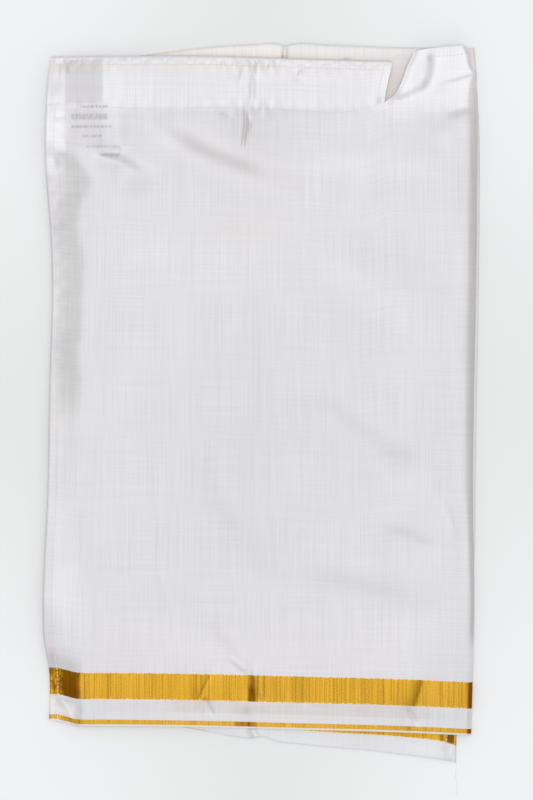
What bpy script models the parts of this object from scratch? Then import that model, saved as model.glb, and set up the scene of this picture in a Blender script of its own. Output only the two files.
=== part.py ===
"""Folded child's dhoti: white silk with a woven gold border and a sewn waist casing.

The cloth lies folded into about three layers, as it comes out of its packet. The front
layer is cut, hemmed and woven in the pieces below; it turns over a fold on the right and
comes back underneath. The back layer lies flat on the ground, turned a few degrees, so
its waist edge shows above the front and its hem below it. The layers that never show
are one rounded block with a layered rim.

Frame: the origin is the middle of the footprint on the ground, +Y runs to the waist,
+X to the folded side, +Z up. Lists of sizes are in millimetres and scaled once.
"""
import math

import bmesh
import bpy
import numpy as np

MM = 0.001

# Driving dimensions, in millimetres
WALL = 1.0                # cloth wall of every single layer
HEM_WALL = 1.3            # side hem, turned twice
CASING_WALL = 1.5         # waist casing, turned down and stitched
LABEL_WALL = 0.6
LABEL_DEPTH = 1.9         # its face below the front's top surface
SEAM = 0.3                # clear gap between neighbouring pieces
CURVED_SEAM = 0.7         # the same where two unlike grids meet on a curve
FRONT_TOP = 5.5           # top surface of the front layer on the flat
HEM_DROP = 2.7            # how far the front falls to its hem at the left
ROLL_BOTTOM = 1.3         # underside of the fold on the right
ROLL_RETURN = 6.0         # how far the fold comes back underneath
SHOULDER_INSET = 4.0      # where the fold's height is taken, in from its edge
NEAR_HEM = 20.0           # closely meshed stretch beside the hem
HEM_WIDTH = 5.8           # front side hem
BACK_HEM_WIDTH = 6.5
CASING_HEIGHT = 30.0
CORE_BOTTOM, CORE_TOP = 1.3, 3.2

# Woven border, measured up from the lower edge of the cloth
SELVEDGE = (0.0, 1.1)
GOLD_LINE = (1.1, 4.0)
GROUND = (4.0, 17.0)
GOLD_BAND = (17.0, 33.0)
BACK_GROUND = (0.0, 12.0)
BACK_BAND = (12.0, 28.0)

# Shares of the front's grid: beside the hem, up to the fold, round the fold
HEM_SHARE, FLAT_SHARE, FOLD_SHARE = 0.12, 0.78, 0.96
FLAP_FLAT_SHARE, FLAP_FOLD_SHARE = 0.55, 0.90

# Outlines. Side edges are (y, x) points, the others are (x, y) points.
FRONT_LEFT = [(-200, -131.5), (-164, -131.7), (-147, -134.3), (-128, -135), (-97, -134),
              (-60, -132.2), (-29, -131.5), (14, -131), (64, -129.5), (107, -130.5),
              (126, -132), (150, -133.5), (183, -132.5), (204, -131), (216, -129.5)]
FRONT_RIGHT = [(-206, 130), (-147, 131), (-60, 131), (0, 132), (64, 133.5), (126, 134.5),
               (170, 134.5), (200, 133.5), (221, 132)]
FRONT_BOTTOM = [(-132, -195.5), (-124, -196.2), (-112, -199.5), (-100, -200),
                (-38, -201), (24, -202.5), (86, -204), (130, -206)]
CASING_SEAM = [(-131, 184.5), (-87, 181.7), (-7, 181.5), (24, 180.5), (56.5, 179.5),
               (77, 186.3), (100, 187), (134, 187)]
CASING_EDGE = [(-130, 214.5), (-13, 214.4), (15, 213.5), (49, 212.5), (81.5, 211.5)]
CASING_END = [(186.3, 76.6), (211.5, 81.5)]
FLAP_START = [(186.3, 77.3), (191.6, 83), (196.6, 86), (209.6, 91), (217, 94.5)]
FLAP_EDGE = [(90, 216), (98.5, 218), (111, 219.5), (123.5, 220.5), (132, 221)]
BACK_LEFT = [(-189, -121), (210, -121)]
BACK_RIGHT = [(-223, 121), (-206, 121.5), (-122, 129.5), (-60, 133), (0, 134.5),
              (40, 135), (126, 136), (170, 136), (190, 135), (220, 134)]
BACK_BOTTOM = [(-121, -189), (-56, -200), (-25, -206), (-6, -208.5), (24, -212),
               (74, -217), (121, -223)]
BACK_TOP = [(-121, 211), (-79.5, 215), (-62.5, 217.5), (-38, 220.5), (-5, 222.7),
            (15, 223), (44.5, 222.3), (81.5, 221), (134, 219)]
CORE_BOX = (-117.0, -191.0, 120.5, 207.0)
LABEL_BOX = (-120.0, 158.0, -86.0, 209.0)

# Main folds of the front: line, height (mm, negative is a trough) and half width
FOLDS = [
    ([(-72.5, 178.5), (-46, 163.5), (-13, 147.5), (13.5, 132.5)], -0.8, 6.0),
    ([(-58, 184), (-30, 170), (4, 155), (30, 141)], 0.9, 7.0),
    ([(39.5, 2), (67.5, -16.5), (89.5, -38.5)], -0.6, 9.0),
    ([(74, -75.5), (108, -91)], -0.6, 8.0),
    ([(-34.5, -128.5), (-13, -159.5)], -0.5, 7.0),
]


def smooth_line(points):
    """Cubic curve through the points, with the slope of the neighbours at each one."""
    along = np.array([p[0] for p in points], float)
    across = np.array([p[1] for p in points], float)
    slope = np.gradient(across, along)

    def at(position):
        s = np.clip(position, along[0], along[-1])
        i = np.clip(np.searchsorted(along, s, side="right") - 1, 0, len(along) - 2)
        step = along[i + 1] - along[i]
        t = (s - along[i]) / step
        start = across[i] * (1 + 2 * t) + slope[i] * step * t
        end = across[i + 1] * (3 - 2 * t) - slope[i + 1] * step * (1 - t)
        return start * (1 - t) ** 2 + end * t ** 2
    return at


front_left, front_right = smooth_line(FRONT_LEFT), smooth_line(FRONT_RIGHT)
front_bottom, casing_seam = smooth_line(FRONT_BOTTOM), smooth_line(CASING_SEAM)
casing_edge, casing_end = smooth_line(CASING_EDGE), smooth_line(CASING_END)
flap_start, flap_edge = smooth_line(FLAP_START), smooth_line(FLAP_EDGE)
back_left, back_right = smooth_line(BACK_LEFT), smooth_line(BACK_RIGHT)
back_bottom, back_top = smooth_line(BACK_BOTTOM), smooth_line(BACK_TOP)


def ease(low, high, value):
    """0 below low, 1 above high, smooth between."""
    t = np.clip((value - low) / (high - low), 0.0, 1.0)
    return t * t * (3 - 2 * t)


def line_distance(x, y, line):
    """Distance from each point to the nearest stretch of a line of points."""
    nearest = np.full(np.shape(x), np.inf)
    for (ax, ay), (bx, by) in zip(line[:-1], line[1:]):
        dx, dy = bx - ax, by - ay
        t = np.clip(((x - ax) * dx + (y - ay) * dy) / (dx * dx + dy * dy), 0.0, 1.0)
        nearest = np.minimum(nearest, np.hypot(x - ax - t * dx, y - ay - t * dy))
    return nearest


def front_height(x, y):
    """Top of the front layer: flat, low at the left hem, lifted at the waist, folded."""
    low_left = (1 - ease(150, 175, y)) * (1 - ease(-126, -112, x))
    waist_lift = 3.0 * ease(110, 195, y) * (1 - 0.6 * ease(-60, 60, x))
    flap_lift = 5.5 * ease(186, 222, y) * ease(70, 112, x)
    height = FRONT_TOP - HEM_DROP * low_left + waist_lift + flap_lift
    for line, rise, reach in FOLDS:
        height = height + rise * np.exp(-(line_distance(x, y, line) / reach) ** 2)
    return height


def material(name, colour, roughness, metallic=0.0):
    """A plain finish, with the same colour in the viewport."""
    made = bpy.data.materials.new(name)
    made.use_nodes = True
    made.diffuse_color = (*colour, 1)
    shader = made.node_tree.nodes["Principled BSDF"]
    shader.inputs["Base Color"].default_value = (*colour, 1)
    shader.inputs["Roughness"].default_value = roughness
    shader.inputs["Metallic"].default_value = metallic
    return made


def grid_sheet(name, columns, rows, place, wall, finish):
    """A grid of columns by rows cells, moved by place(u, v), with its wall below it."""
    bm = bmesh.new()
    bmesh.ops.create_grid(bm, x_segments=columns, y_segments=rows, size=1)
    corners = np.array([v.co[:2] for v in bm.verts])
    x, y, z = place((corners[:, 0] + 1) / 2, (corners[:, 1] + 1) / 2)
    for vertex, point in zip(bm.verts, np.column_stack([x, y, z]) * MM):
        vertex.co = point
    mesh = bpy.data.meshes.new(name)
    bm.to_mesh(mesh)
    bm.free()
    mesh.shade_smooth()
    mesh.materials.append(finish)
    obj = bpy.data.objects.new(name, mesh)
    shell = obj.modifiers.new("wall", "SOLIDIFY")
    shell.thickness = wall * MM
    shell.offset = -1
    return obj


def share_between(u, low, high):
    """How far u has gone from low to high, held between 0 and 1."""
    return np.clip((u - low) / (high - low), 0, 1)


def round_fold(flat_x, radius, turned, returned, y):
    """The flat carried round the fold: half a circle, then a flat return below it."""
    turn = turned * math.pi
    x = flat_x + radius * np.sin(turn) - returned * ROLL_RETURN
    z = np.where(turn > 0, ROLL_BOTTOM + radius * (1 + np.cos(turn)),
                 front_height(flat_x, y))
    return x, z


def fold_radius(edge, y):
    """Radius of the fold: half the height between the front's top and the fold's bottom."""
    return (front_height(edge - SHOULDER_INSET, y) - ROLL_BOTTOM) / 2


def across_front(u, y):
    """Point across the front at height y: the flat, the slope, the fold and its return."""
    start = front_left(y) + HEM_WIDTH + SEAM
    edge = front_right(y)
    radius = fold_radius(edge, y)
    near = share_between(u, 0, HEM_SHARE) * NEAR_HEM
    rest = share_between(u, HEM_SHARE, FLAT_SHARE) * (edge - radius - start - NEAR_HEM)
    return round_fold(start + near + rest, radius,
                      share_between(u, FLAT_SHARE, FOLD_SHARE),
                      share_between(u, FOLD_SHARE, 1), y)


def front_strip(name, low, high, rows, finish):
    """A strip of the front between two heights above its lower edge."""
    def place(u, v):
        level = low + (high - low) * v
        middle = front_bottom(np.zeros_like(u)) + level
        x = across_front(u, middle)[0]
        y = front_bottom(x) + level
        x, z = across_front(u, y)
        return x, y, z
    return grid_sheet(name, 34, rows, place, WALL, finish)


def make_front_panel(finish):
    """Body of the front, from the gold band up to the casing seam."""
    def place(u, v):
        guess = -170 + 355 * v
        x = across_front(u, guess)[0]
        low = front_bottom(x) + GOLD_BAND[1] + SEAM
        high = casing_seam(x) - CURVED_SEAM
        y = low + (high - low) * v
        x, z = across_front(u, y)
        return x, y, z
    return grid_sheet("front_panel", 34, 33, place, WALL, finish)


def make_side_hem(finish):
    """The front's free edge, turned and stitched, down the left side."""
    def place(u, v):
        low = front_bottom(-129.0)
        y = low + (casing_seam(-130.0) - CURVED_SEAM - low) * v
        x = front_left(y) + HEM_WIDTH * u
        return x, y, front_height(x, y) + 0.2
    return grid_sheet("side_hem", 2, 40, place, HEM_WALL, finish)


def make_waist_casing(finish):
    """The waist edge, turned down and stitched into a channel."""
    def place(u, v):
        y = 184.5 + CASING_HEIGHT * v
        left, right = front_left(y), casing_end(y)
        x = left + (right - left) * u
        y = casing_seam(x) + (casing_edge(x) - casing_seam(x)) * v
        return x, y, front_height(x, y)
    return grid_sheet("waist_casing", 24, 5, place, CASING_WALL, finish)


def make_corner_flap(finish):
    """The waist corner past the end of the casing, standing up from the pile."""
    def place(u, v):
        low_y = casing_seam(100.0) + SEAM
        y = low_y + (flap_edge(115.0) - low_y) * v
        left, edge = flap_start(y), front_right(y)
        radius = fold_radius(edge, y)
        flat_x = left + (edge - radius - left) * share_between(u, 0, FLAP_FLAT_SHARE)
        x, z = round_fold(flat_x, radius, share_between(u, FLAP_FLAT_SHARE, FLAP_FOLD_SHARE),
                          share_between(u, FLAP_FOLD_SHARE, 1), y)
        low, high = casing_seam(x) + SEAM, flap_edge(x)
        return x, low + (high - low) * v, z
    return grid_sheet("corner_flap", 20, 8, place, WALL, finish)


def make_care_label(finish):
    """The label sewn into the casing, under the front."""
    x0, y0, x1, y1 = LABEL_BOX

    def place(u, v):
        x, y = x0 + (x1 - x0) * u, y0 + (y1 - y0) * v
        return x, y, front_height(x, y) - LABEL_DEPTH
    return grid_sheet("care_label", 6, 8, place, LABEL_WALL, finish)


def back_strip(name, low, high, columns, rows, finish, hem=False):
    """A flat strip of the back; low and high give y for an x, as functions."""
    def place(u, v):
        y = -206 + 426 * v
        for _ in range(3):
            stitch = back_right(y) - BACK_HEM_WIDTH
            left = stitch + SEAM if hem else back_left(y)
            right = back_right(y) if hem else stitch
            x = left + (right - left) * u
            y = low(x) + (high(x) - low(x)) * v
        return x, y, np.full_like(x, WALL)
    return grid_sheet(name, columns, rows, place, WALL, finish)


def make_back(silk, zari):
    """The back layer, flat on the ground, with its own band, hem and casing."""
    def above(level):
        return lambda x: back_bottom(x) + level

    def below(level):
        return lambda x: back_top(x) - level
    return [
        back_strip("back_border_ground", above(0), above(BACK_GROUND[1] - SEAM), 16, 1, silk),
        back_strip("back_border_band", above(BACK_BAND[0]), above(BACK_BAND[1] - SEAM),
                   16, 1, zari),
        back_strip("back_panel", above(BACK_BAND[1]), below(CASING_HEIGHT + SEAM), 10, 10, silk),
        back_strip("back_waist_casing", below(CASING_HEIGHT), below(0), 16, 2, silk),
        back_strip("back_side_hem", above(0), below(0), 1, 24, silk, hem=True),
    ]


def make_folded_layers(finish):
    """The hidden layers: one rounded block whose rim shows two folded edges."""
    x0, y0, x1, y1 = CORE_BOX
    middle = np.array([(x0 + x1) / 2, (y0 + y1) / 2])
    half = np.array([(x1 - x0) / 2, (y1 - y0) / 2])
    corner, per_corner = 9.0, 6
    tall = CORE_TOP - CORE_BOTTOM
    # rim section, bottom to top: distance in from the outline, share of the height
    rim = [(1.0, 0.0), (0.2, 0.12), (0.0, 0.27), (0.3, 0.42), (0.9, 0.5), (0.3, 0.58),
           (0.0, 0.73), (0.2, 0.88), (1.0, 1.0)]
    bm = bmesh.new()
    rings = []
    for inset, share in rim:
        ring = []
        for quarter in range(4):
            sx, sy = (1, 1, -1, -1)[quarter], (1, -1, -1, 1)[quarter]
            centre = middle + (half - corner) * (sx, sy)
            for i in range(per_corner):
                angle = math.pi / 2 * (1 - quarter - i / (per_corner - 1))
                x, y = centre + (corner - inset) * np.array([math.cos(angle), math.sin(angle)])
                ring.append(bm.verts.new((x * MM, y * MM, (CORE_BOTTOM + tall * share) * MM)))
        rings.append(ring)
    for low, high in zip(rings[:-1], rings[1:]):
        for i in range(len(low)):
            bm.faces.new((low[i], high[i], high[i - 1], low[i - 1]))
    bm.faces.new(rings[0])
    bm.faces.new(rings[-1][::-1])
    bmesh.ops.recalc_face_normals(bm, faces=bm.faces)
    mesh = bpy.data.meshes.new("folded_layers")
    bm.to_mesh(mesh)
    bm.free()
    mesh.materials.append(finish)
    return bpy.data.objects.new("folded_layers", mesh)


def main():
    for obj in list(bpy.data.objects):
        bpy.data.objects.remove(obj)
    group = bpy.data.collections.new("folded_dhoti")
    bpy.context.scene.collection.children.link(group)
    silk = material("white_silk", (0.76, 0.75, 0.77), 0.55)
    zari = material("gold_zari", (0.62, 0.36, 0.05), 0.35, 0.7)
    satin = material("label_satin", (0.82, 0.81, 0.85), 0.45)
    pieces = [
        make_folded_layers(silk),
        make_front_panel(silk),
        front_strip("front_border_band", GOLD_BAND[0], GOLD_BAND[1], 2, zari),
        front_strip("front_border_ground", GROUND[0] + SEAM, GROUND[1] - SEAM, 1, silk),
        front_strip("front_border_line", *GOLD_LINE, 1, zari),
        front_strip("front_selvedge", SELVEDGE[0], SELVEDGE[1] - SEAM, 1, silk),
        make_side_hem(silk),
        make_waist_casing(silk),
        make_corner_flap(silk),
        make_care_label(satin),
        *make_back(silk, zari),
    ]
    for piece in pieces:
        group.objects.link(piece)


main()
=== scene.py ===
# %% [markdown]
# # A folded child's dhoti in white silk
# A ready-made dhoti for a small child is a strip of white silk with a gold border woven
# along its lower edge and a casing sewn along its waist. Here it lies folded in three, as it
# comes out of its packet: the front layer with its free hem on the left, a fold on the right,
# the layer inside, a fold on the left under the hem, and the back layer, turned a little so
# that its waist shows above and its hem below. The frame holds plain solids of each piece;
# this file puts thin cloth, folds, seams and stitches in their place.

# %% Load the frame
import math

import bpy
import numpy as np
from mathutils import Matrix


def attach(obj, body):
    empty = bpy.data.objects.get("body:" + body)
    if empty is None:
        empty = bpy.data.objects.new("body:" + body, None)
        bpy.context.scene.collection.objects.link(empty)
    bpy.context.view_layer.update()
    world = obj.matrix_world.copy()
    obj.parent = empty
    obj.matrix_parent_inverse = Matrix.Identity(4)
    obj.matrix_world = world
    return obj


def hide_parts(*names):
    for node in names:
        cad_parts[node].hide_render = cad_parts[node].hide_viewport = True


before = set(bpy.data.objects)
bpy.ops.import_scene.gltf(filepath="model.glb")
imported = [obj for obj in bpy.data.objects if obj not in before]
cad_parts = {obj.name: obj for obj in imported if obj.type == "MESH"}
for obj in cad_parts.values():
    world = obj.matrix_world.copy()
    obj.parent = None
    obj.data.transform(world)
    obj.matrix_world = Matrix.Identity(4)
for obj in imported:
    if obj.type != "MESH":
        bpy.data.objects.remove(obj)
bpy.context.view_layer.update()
MM = 0.001
print("pieces in the frame:", sorted(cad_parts))

# %% [markdown]
# ## Camera
# A folded garment is shown from straight above, from far enough away that the cloth's
# small heights don't lean outwards. A 100 mm lens a little under 1.4 m up takes in the pack
# and a margin of the surface around it. The distance follows from the height that the view
# has to cover at the cloth: as the sensor is to the lens, so is that height to the distance.

# %% Camera
VIEW_HEIGHT = 0.496
VIEW_CENTRE = (0.0034, 0.0019)
CLOTH_LEVEL = 0.004
camera_data = bpy.data.cameras.new("overhead_camera")
camera_data.lens = 100.0
camera_data.sensor_width = 36.0
camera = bpy.data.objects.new("overhead_camera", camera_data)
distance = VIEW_HEIGHT * camera_data.lens / camera_data.sensor_width
camera.location = (*VIEW_CENTRE, CLOTH_LEVEL + distance)
bpy.context.scene.collection.objects.link(camera)
bpy.context.scene.camera = camera
print("camera height", round(camera.location.z, 3), "m")

# %% [markdown]
# ## Curves as formulas
# Every sheet below is a grid whose points are worked out at once with numpy. The outlines are
# smooth curves through a few given points, and whatever begins or ends softly is eased.
# Curve objects could draw the outlines too, but a function can be asked for the edge at any
# height, which every sheet needs. All lengths are in millimetres, and they are scaled once
# when a mesh is made.

# %% Easing and smooth curves


def ease(low, high, value):
    """0 below low, 1 above high, with 3t^2 - 2t^3 between them."""
    t = np.clip((np.asarray(value, float) - low) / (high - low), 0.0, 1.0)
    return t * t * (3 - 2 * t)


def soft_clamp(t, start, end):
    """t held between 0 and 1, its two corners rounded over the widths start and end."""
    lifted = start * np.logaddexp(0, t / start)
    return 1 - end * np.logaddexp(0, (1 - lifted) / end)


def smooth_line(points):
    """A cubic curve through (along, across) points, with each point's neighbours' slope."""
    along, across = np.array(points, float).T
    slope = np.gradient(across, along)

    def at(position):
        s = np.clip(position, along[0], along[-1])
        i = np.clip(np.searchsorted(along, s, side="right") - 1, 0, len(along) - 2)
        step = along[i + 1] - along[i]
        t = (s - along[i]) / step
        start = across[i] * (1 + 2 * t) + slope[i] * step * t
        end = across[i + 1] * (3 - 2 * t) - slope[i + 1] * step * (1 - t)
        return start * (1 - t) ** 2 + end * t ** 2
    return at


def rounded_path(points, pieces=10):
    """Points along a smooth curve through a short list of points (Catmull-Rom)."""
    p = np.array(points, float)
    p = np.vstack([2 * p[0] - p[1], p, 2 * p[-1] - p[-2]])
    t = np.linspace(0, 1, pieces, endpoint=False)[:, None]
    runs = [0.5 * (2 * b + (c - a) * t + (2 * a - 5 * b + 4 * c - d) * t ** 2
                   + (3 * b - a - 3 * c + d) * t ** 3)
            for a, b, c, d in zip(p[:-3], p[1:-2], p[2:-1], p[3:])]
    return np.vstack([*runs, p[-2:-1]])


print("easing from 0 to 1 passes", float(ease(0, 1, 0.25)), "a quarter of the way along")

# %% [markdown]
# ## Folds as formulas
# A fold pressed into cloth is one of two shapes. A soft step is where the cloth drops from
# one level to another, and a crease is a narrow ridge or trough. Both follow a line drawn on
# the cloth and fade out at its ends, so each needs the distance from every point to the line.
# What is left is a low random waviness, which no pressed cloth is free of. Folds could also
# be sculpted or left to a cloth simulation, but as formulas each one lies where it should
# and can be changed on its own.

# %% Steps, creases and waves


def near_path(x, y, path):
    """Signed distance to a path, positive on its left, and the share of it passed."""
    legs = np.diff(path, axis=0)
    length = np.hypot(*legs.T)
    passed = np.concatenate([[0.0], np.cumsum(length)])
    best, share = np.full(x.shape, 1e9), np.zeros(x.shape)
    for (ax, ay), (dx, dy), leg, before in zip(path, legs, length, passed):
        ux, uy = dx / leg, dy / leg
        s = np.clip((x - ax) * ux + (y - ay) * uy, 0, leg)
        away = np.hypot(x - ax - s * ux, y - ay - s * uy)
        side = np.where(ux * (y - ay) - uy * (x - ax) < 0, -1.0, 1.0)
        closer = away < np.abs(best)
        best = np.where(closer, side * away, best)
        share = np.where(closer, (before + s) / passed[-1], share)
    return best, share


def step_fold(x, y, points, rise, width, reach):
    """The cloth is higher on the line's left: rise/2 tanh(d/width), fading with distance."""
    d, share = near_path(x, y, rounded_path(points))
    ends = ease(0, 0.38, share) * ease(0, 0.38, 1 - share)
    d = d + 0.3 * width * waves(x, y, 3 * width, 3 * width, 51)
    return rise / 2 * np.tanh(d / width) * np.exp(-(d / reach) ** 2) * ends


def crease(x, y, points, rise, width):
    """A ridge, or a trough where rise is negative: rise exp(-(d/width)^2) along a line."""
    d, share = near_path(x, y, rounded_path(points))
    ends = ease(0, 0.35, share) * ease(0, 0.35, 1 - share)
    return rise * np.exp(-(d / width) ** 2) * ends


def waves(x, y, across, up, seed):
    """Random heights on a lattice of across by up cells, joined with smooth blends."""
    table = np.random.default_rng(seed).uniform(-1, 1, (64, 64))
    gx, gy = x / across + 500.0, y / up + 500.0
    ix, iy = np.floor(gx).astype(int), np.floor(gy).astype(int)
    tx, ty = gx - ix, gy - iy
    tx, ty = tx * tx * (3 - 2 * tx), ty * ty * (3 - 2 * ty)

    def corner(i, j):
        return table[(iy + j) % 64, (ix + i) % 64]
    low = corner(0, 0) * (1 - tx) + corner(1, 0) * tx
    high = corner(0, 1) * (1 - tx) + corner(1, 1) * tx
    return low * (1 - ty) + high * ty


print("a soft step half way across its width rises", round(math.tanh(0.5), 2), "of a half")

# %% [markdown]
# ## Outlines
# The edges of a folded cloth are never straight: the hem on the left wanders by a few
# millimetres, the fold on the right bows out near the waist, and the lower edge droops
# towards the fold. Each is a smooth curve through a few points. The border is woven at
# fixed distances above the lower edge, so it follows that edge wherever it goes.

# %% Outlines of the front and back layers
front_left = smooth_line([(-200, -131.5), (-164, -131.7), (-147, -134.3), (-128, -135),
                          (-97, -134), (-60, -132.2), (-29, -131.5), (14, -131),
                          (64, -129.5), (107, -130.5), (126, -132), (150, -133.5),
                          (183, -132.5), (204, -131), (216, -129.5)])
front_right = smooth_line([(-206, 130.4), (-150, 131.8), (-120, 132.2), (-92, 131.8),
                           (-60, 131.4), (0, 132), (64, 133.2),
                           (126, 133.8), (170, 134), (190, 133.6), (199, 133.0),
                           (203.5, 132.6), (208, 130.2), (213.3, 129.1), (221, 126.4)])
shoulder = smooth_line([(-206, 2.8), (-150, 3.0), (-90, 3.4), (-50, 5.6), (0, 7.4),
                        (110, 6.4), (170, 6.0), (192, 5.6), (198, 3.8), (203.5, 1.6),
                        (208, 2.0), (221, 2.2)])
front_bottom = smooth_line([(-132, -196.9), (-126, -197.4), (-121, -198.4), (-115, -199.8),
                            (-109, -200.1), (-100, -200.1), (-38, -200.8), (24, -202.3),
                            (86, -204), (130, -206)])
casing_seam = smooth_line([(-131, 184.5), (-87, 181.7), (-7, 181.5), (24, 180.5),
                           (56.5, 179.8), (70, 183.0), (77, 186.3), (100, 187), (134, 187)])
casing_edge = smooth_line([(-130, 214.5), (-13, 214.4), (15, 213.5), (49, 212.5),
                           (81.5, 211.5)])
casing_end = smooth_line([(179, 76.6), (186.3, 76.6), (211.5, 81.5)])
flap_start = smooth_line([(186.3, 76.6), (191.6, 83), (196.6, 86), (209.6, 91), (217, 94.5)])
flap_edge = smooth_line([(76, 213), (90, 215.5), (98.5, 218), (111, 219.5),
                         (123.5, 220.5), (130, 221)])
back_right = smooth_line([(-223, 121), (-206, 121.5), (-122, 130.6), (-90, 132.9),
                          (-60, 133.2), (0, 134.0),
                          (40, 134.8), (126, 135.8), (170, 135.6), (190, 134.6), (205, 133.8),
                          (221, 132.4)])
back_bottom = smooth_line([(-121, -189), (-62, -200.0), (-50, -201.6), (-38, -203.6),
                           (-25, -206), (-15, -207.6),
                           (-6, -208.5), (-2, -207.4), (3, -207.6), (8, -209.6),
                           (24, -212), (43, -214), (74, -217), (96, -219.5), (121, -223)])
back_top = smooth_line([(-121, 211), (-79.5, 215), (-62.5, 217.5), (-38, 220.5),
                        (-5, 222.7), (11, 223), (15, 221.9), (18, 222.7), (44.5, 222.3),
                        (81.5, 221), (134, 220.6)])
SILK_WALL = 0.28
HEM_WIDTH = 5.8
HEM_MIDDLE = -129.0
CASING_DEPTH = 30.0
FLAP_LENGTH = 33.0
SEAM_LEVEL = 384.0
LINE_LEVELS = (1.1, 4.0)
BAND_LEVELS = (16.6, 33.0)
BACK_BAND = (12.0, 28.0)
print("front", round(float(front_right(0) - front_left(0))), "mm wide and",
      round(float(casing_edge(0) - front_bottom(0))), "mm long")

# %% [markdown]
# ## Height of the front layer
# Seen from above, folds show only as slopes. The front lies flat on the layers below,
# drops to its hem on the left with a sharp shoulder, and rises towards the stiff waist
# casing and the corner that stands up beside it. The main folds are listed one by one, each as
# a line with its rise and its widths. A sewing thread also draws the cloth into puckers
# along each seam, and these are ripples that fade off the thread.

# %% Levels and folds of the front layer
FRONT_TOP = 5.2
SHOULDER_RUN = 14.0
left_drop = smooth_line([(-206, 2.6), (-168, 2.6), (-157, 0.7), (-142, 0.1), (-40, 0.3),
                         (-12, 0.6), (6, 1.6), (60, 1.75), (135, 1.7), (152, 1.7),
                         (159, 0.3), (216, 0.0)])
left_knee = smooth_line([(-206, -112), (-110, -113), (0, -113.4), (40, -113), (56, -111.4),
                         (84, -109.8), (112, -112.4), (124, -110.8), (140, -106.6),
                         (152, -113), (158, -115), (216, -115)])
STEPS = [  # line, rise to its left, half width of the slope, reach
    ([(-82, 181), (-65, 174.5), (-48, 163.5), (-32, 155), (-12, 147), (5, 140), (28, 129)],
     2.3, 6.5, 30),
    ([(-106, 159), (-88, 152), (-77, 146), (-62, 139)], 1.3, 3.2, 16),
    ([(-106, 154.6), (-94.8, 153.2), (-88, 153.8), (-85.6, 160)], 0.75, 0.8, 6),
    ([(0, 141), (45, 146), (85, 149), (130, 145)], 1.0, 7, 34),
    ([(24, 104), (42.8, 85.6), (62, 70), (83.1, 52.8), (104, 38)], 1.0, 7, 26),
    ([(14, 18), (39, 1), (67, -19), (86, -40), (100, -70)], 1.1, 7.5, 30),
    ([(66, -70), (80, -77), (97, -83), (118, -95)], 0.75, 5.0, 20),
    ([(-38, -128), (-23, -148), (-8, -166)], 0.22, 3.5, 10),
    ([(-50, -10), (-20, -75), (20, -120)], 0.8, 9, 30),
    ([(10, -98), (60, -112), (115, -130)], 0.7, 8, 26),
    ([(-30.5, -163), (-32.4, -169), (-38.9, -182.6), (-43, -192)], 0.30, 0.9, 6),
    ([(93, -194), (95.7, -186), (99.8, -172.6), (101.6, -165)], 0.12, 1.1, 8),
    ([(-5.8, -160), (-5.6, -168), (-5.2, -177), (-5.0, -186)], 0.55, 1.6, 5),
    ([(134, 186), (121, 176), (104, 163)], 0.8, 5.0, 18),
    ([(105.2, 224), (105.2, 211), (103.8, 203), (99, 191)], 1.5, 4.2, 12),
    ([(108, 206), (101.8, 197), (95.5, 193), (88, 190), (74, 185)], 0.9, 2.4, 9),
    ([(142, 206), (130, 202.8), (121, 200.2), (108, 197.2)], -0.4, 0.8, 6),
    ([(136, 181), (123.7, 180), (112, 175)], 0.55, 1.6, 7),
    ([(-13.4, 219), (-12.8, 209), (-13.4, 194)], 0.38, 0.6, 4),
    ([(-5.4, 219), (-4.0, 208.5), (-3.2, 198)], 0.45, 0.6, 4),
    ([(-6.8, 206), (-6.6, 195), (-6.6, 183)], 0.34, 0.6, 3),
    ([(-4.2, 206), (-4.0, 195), (-4.6, 183)], -0.34, 0.6, 3),
    ([(24.6, 207.5), (23.0, 203.2), (25.2, 199)], 0.5, 0.5, 2.5),
]
CREASES = [  # line, rise, half width
    ([(-10.0, 186), (-9.7, 177), (-9.6, 172), (-10.2, 167), (-11.6, 154)], 0.55, 0.9),
    ([(-7.2, 178), (-6.8, 173), (-7.8, 167)], -0.3, 0.9),
    ([(108, -56), (117.2, -71.2), (119.4, -92)], 0.24, 1.1),
    ([(-64, -52), (-63, -80), (-61.4, -110), (-52, -142)], 0.24, 1.2),
    ([(-3.7, 120), (-3.1, 33), (-3.7, -50)], -0.12, 1.5),
    ([(-5, 160), (-3.1, 33), (-4, -150)], -0.35, 9.0),
    ([(-22, -156), (-14, -162), (-6, -168)], 0.15, 1.1),
    ([(-20, -161), (-13, -166), (-8, -169)], -0.12, 0.9),
    ([(-1.5, -164), (-1.3, -176), (-1.5, -189)], -0.16, 0.9),
    ([(2.5, -164), (2.6, -176), (2.5, -189)], -0.16, 0.9),
    ([(-9, -187), (-9.4, -197), (-9.8, -207)], -0.3, 3.0),
    ([(26.1, -164), (26.1, -177), (26.1, -190)], -0.14, 0.8),
    ([(-36, -182), (-32.5, -188), (-29, -195)], -0.3, 1.0),
    ([(90, -187), (93.5, -194), (98, -201)], -0.35, 1.0),
    ([(-129, -179), (-122, -187.5), (-115, -199)], 0.28, 1.2),
    ([(-124, -179), (-117.5, -186), (-112, -194)], -0.2, 1.0),
    ([(-131, -186), (-124, -184), (-117, -188)], -0.28, 1.0),
    ([(-131, -191), (-123, -192), (-115, -196)], 0.25, 0.9),
    ([(-129, 75.5), (-123.5, 73), (-118, 71.8)], 0.15, 0.9),
    ([(-130, 179), (-124.5, 177), (-119.5, 180)], -0.35, 0.9),
    ([(-129, 172), (-124, 166.5), (-121, 160)], -0.45, 1.0),
    ([(-128.5, 154), (-124.6, 149), (-125.6, 142)], 0.45, 1.0),
    ([(-124, 215), (-121.8, 209.5), (-118, 204)], -0.4, 0.8),
    ([(-125.6, 217), (-125.2, 207), (-126.4, 196)], -0.25, 1.1),
]
print("folds on the front:", len(STEPS), "steps and", len(CREASES), "creases")

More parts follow.
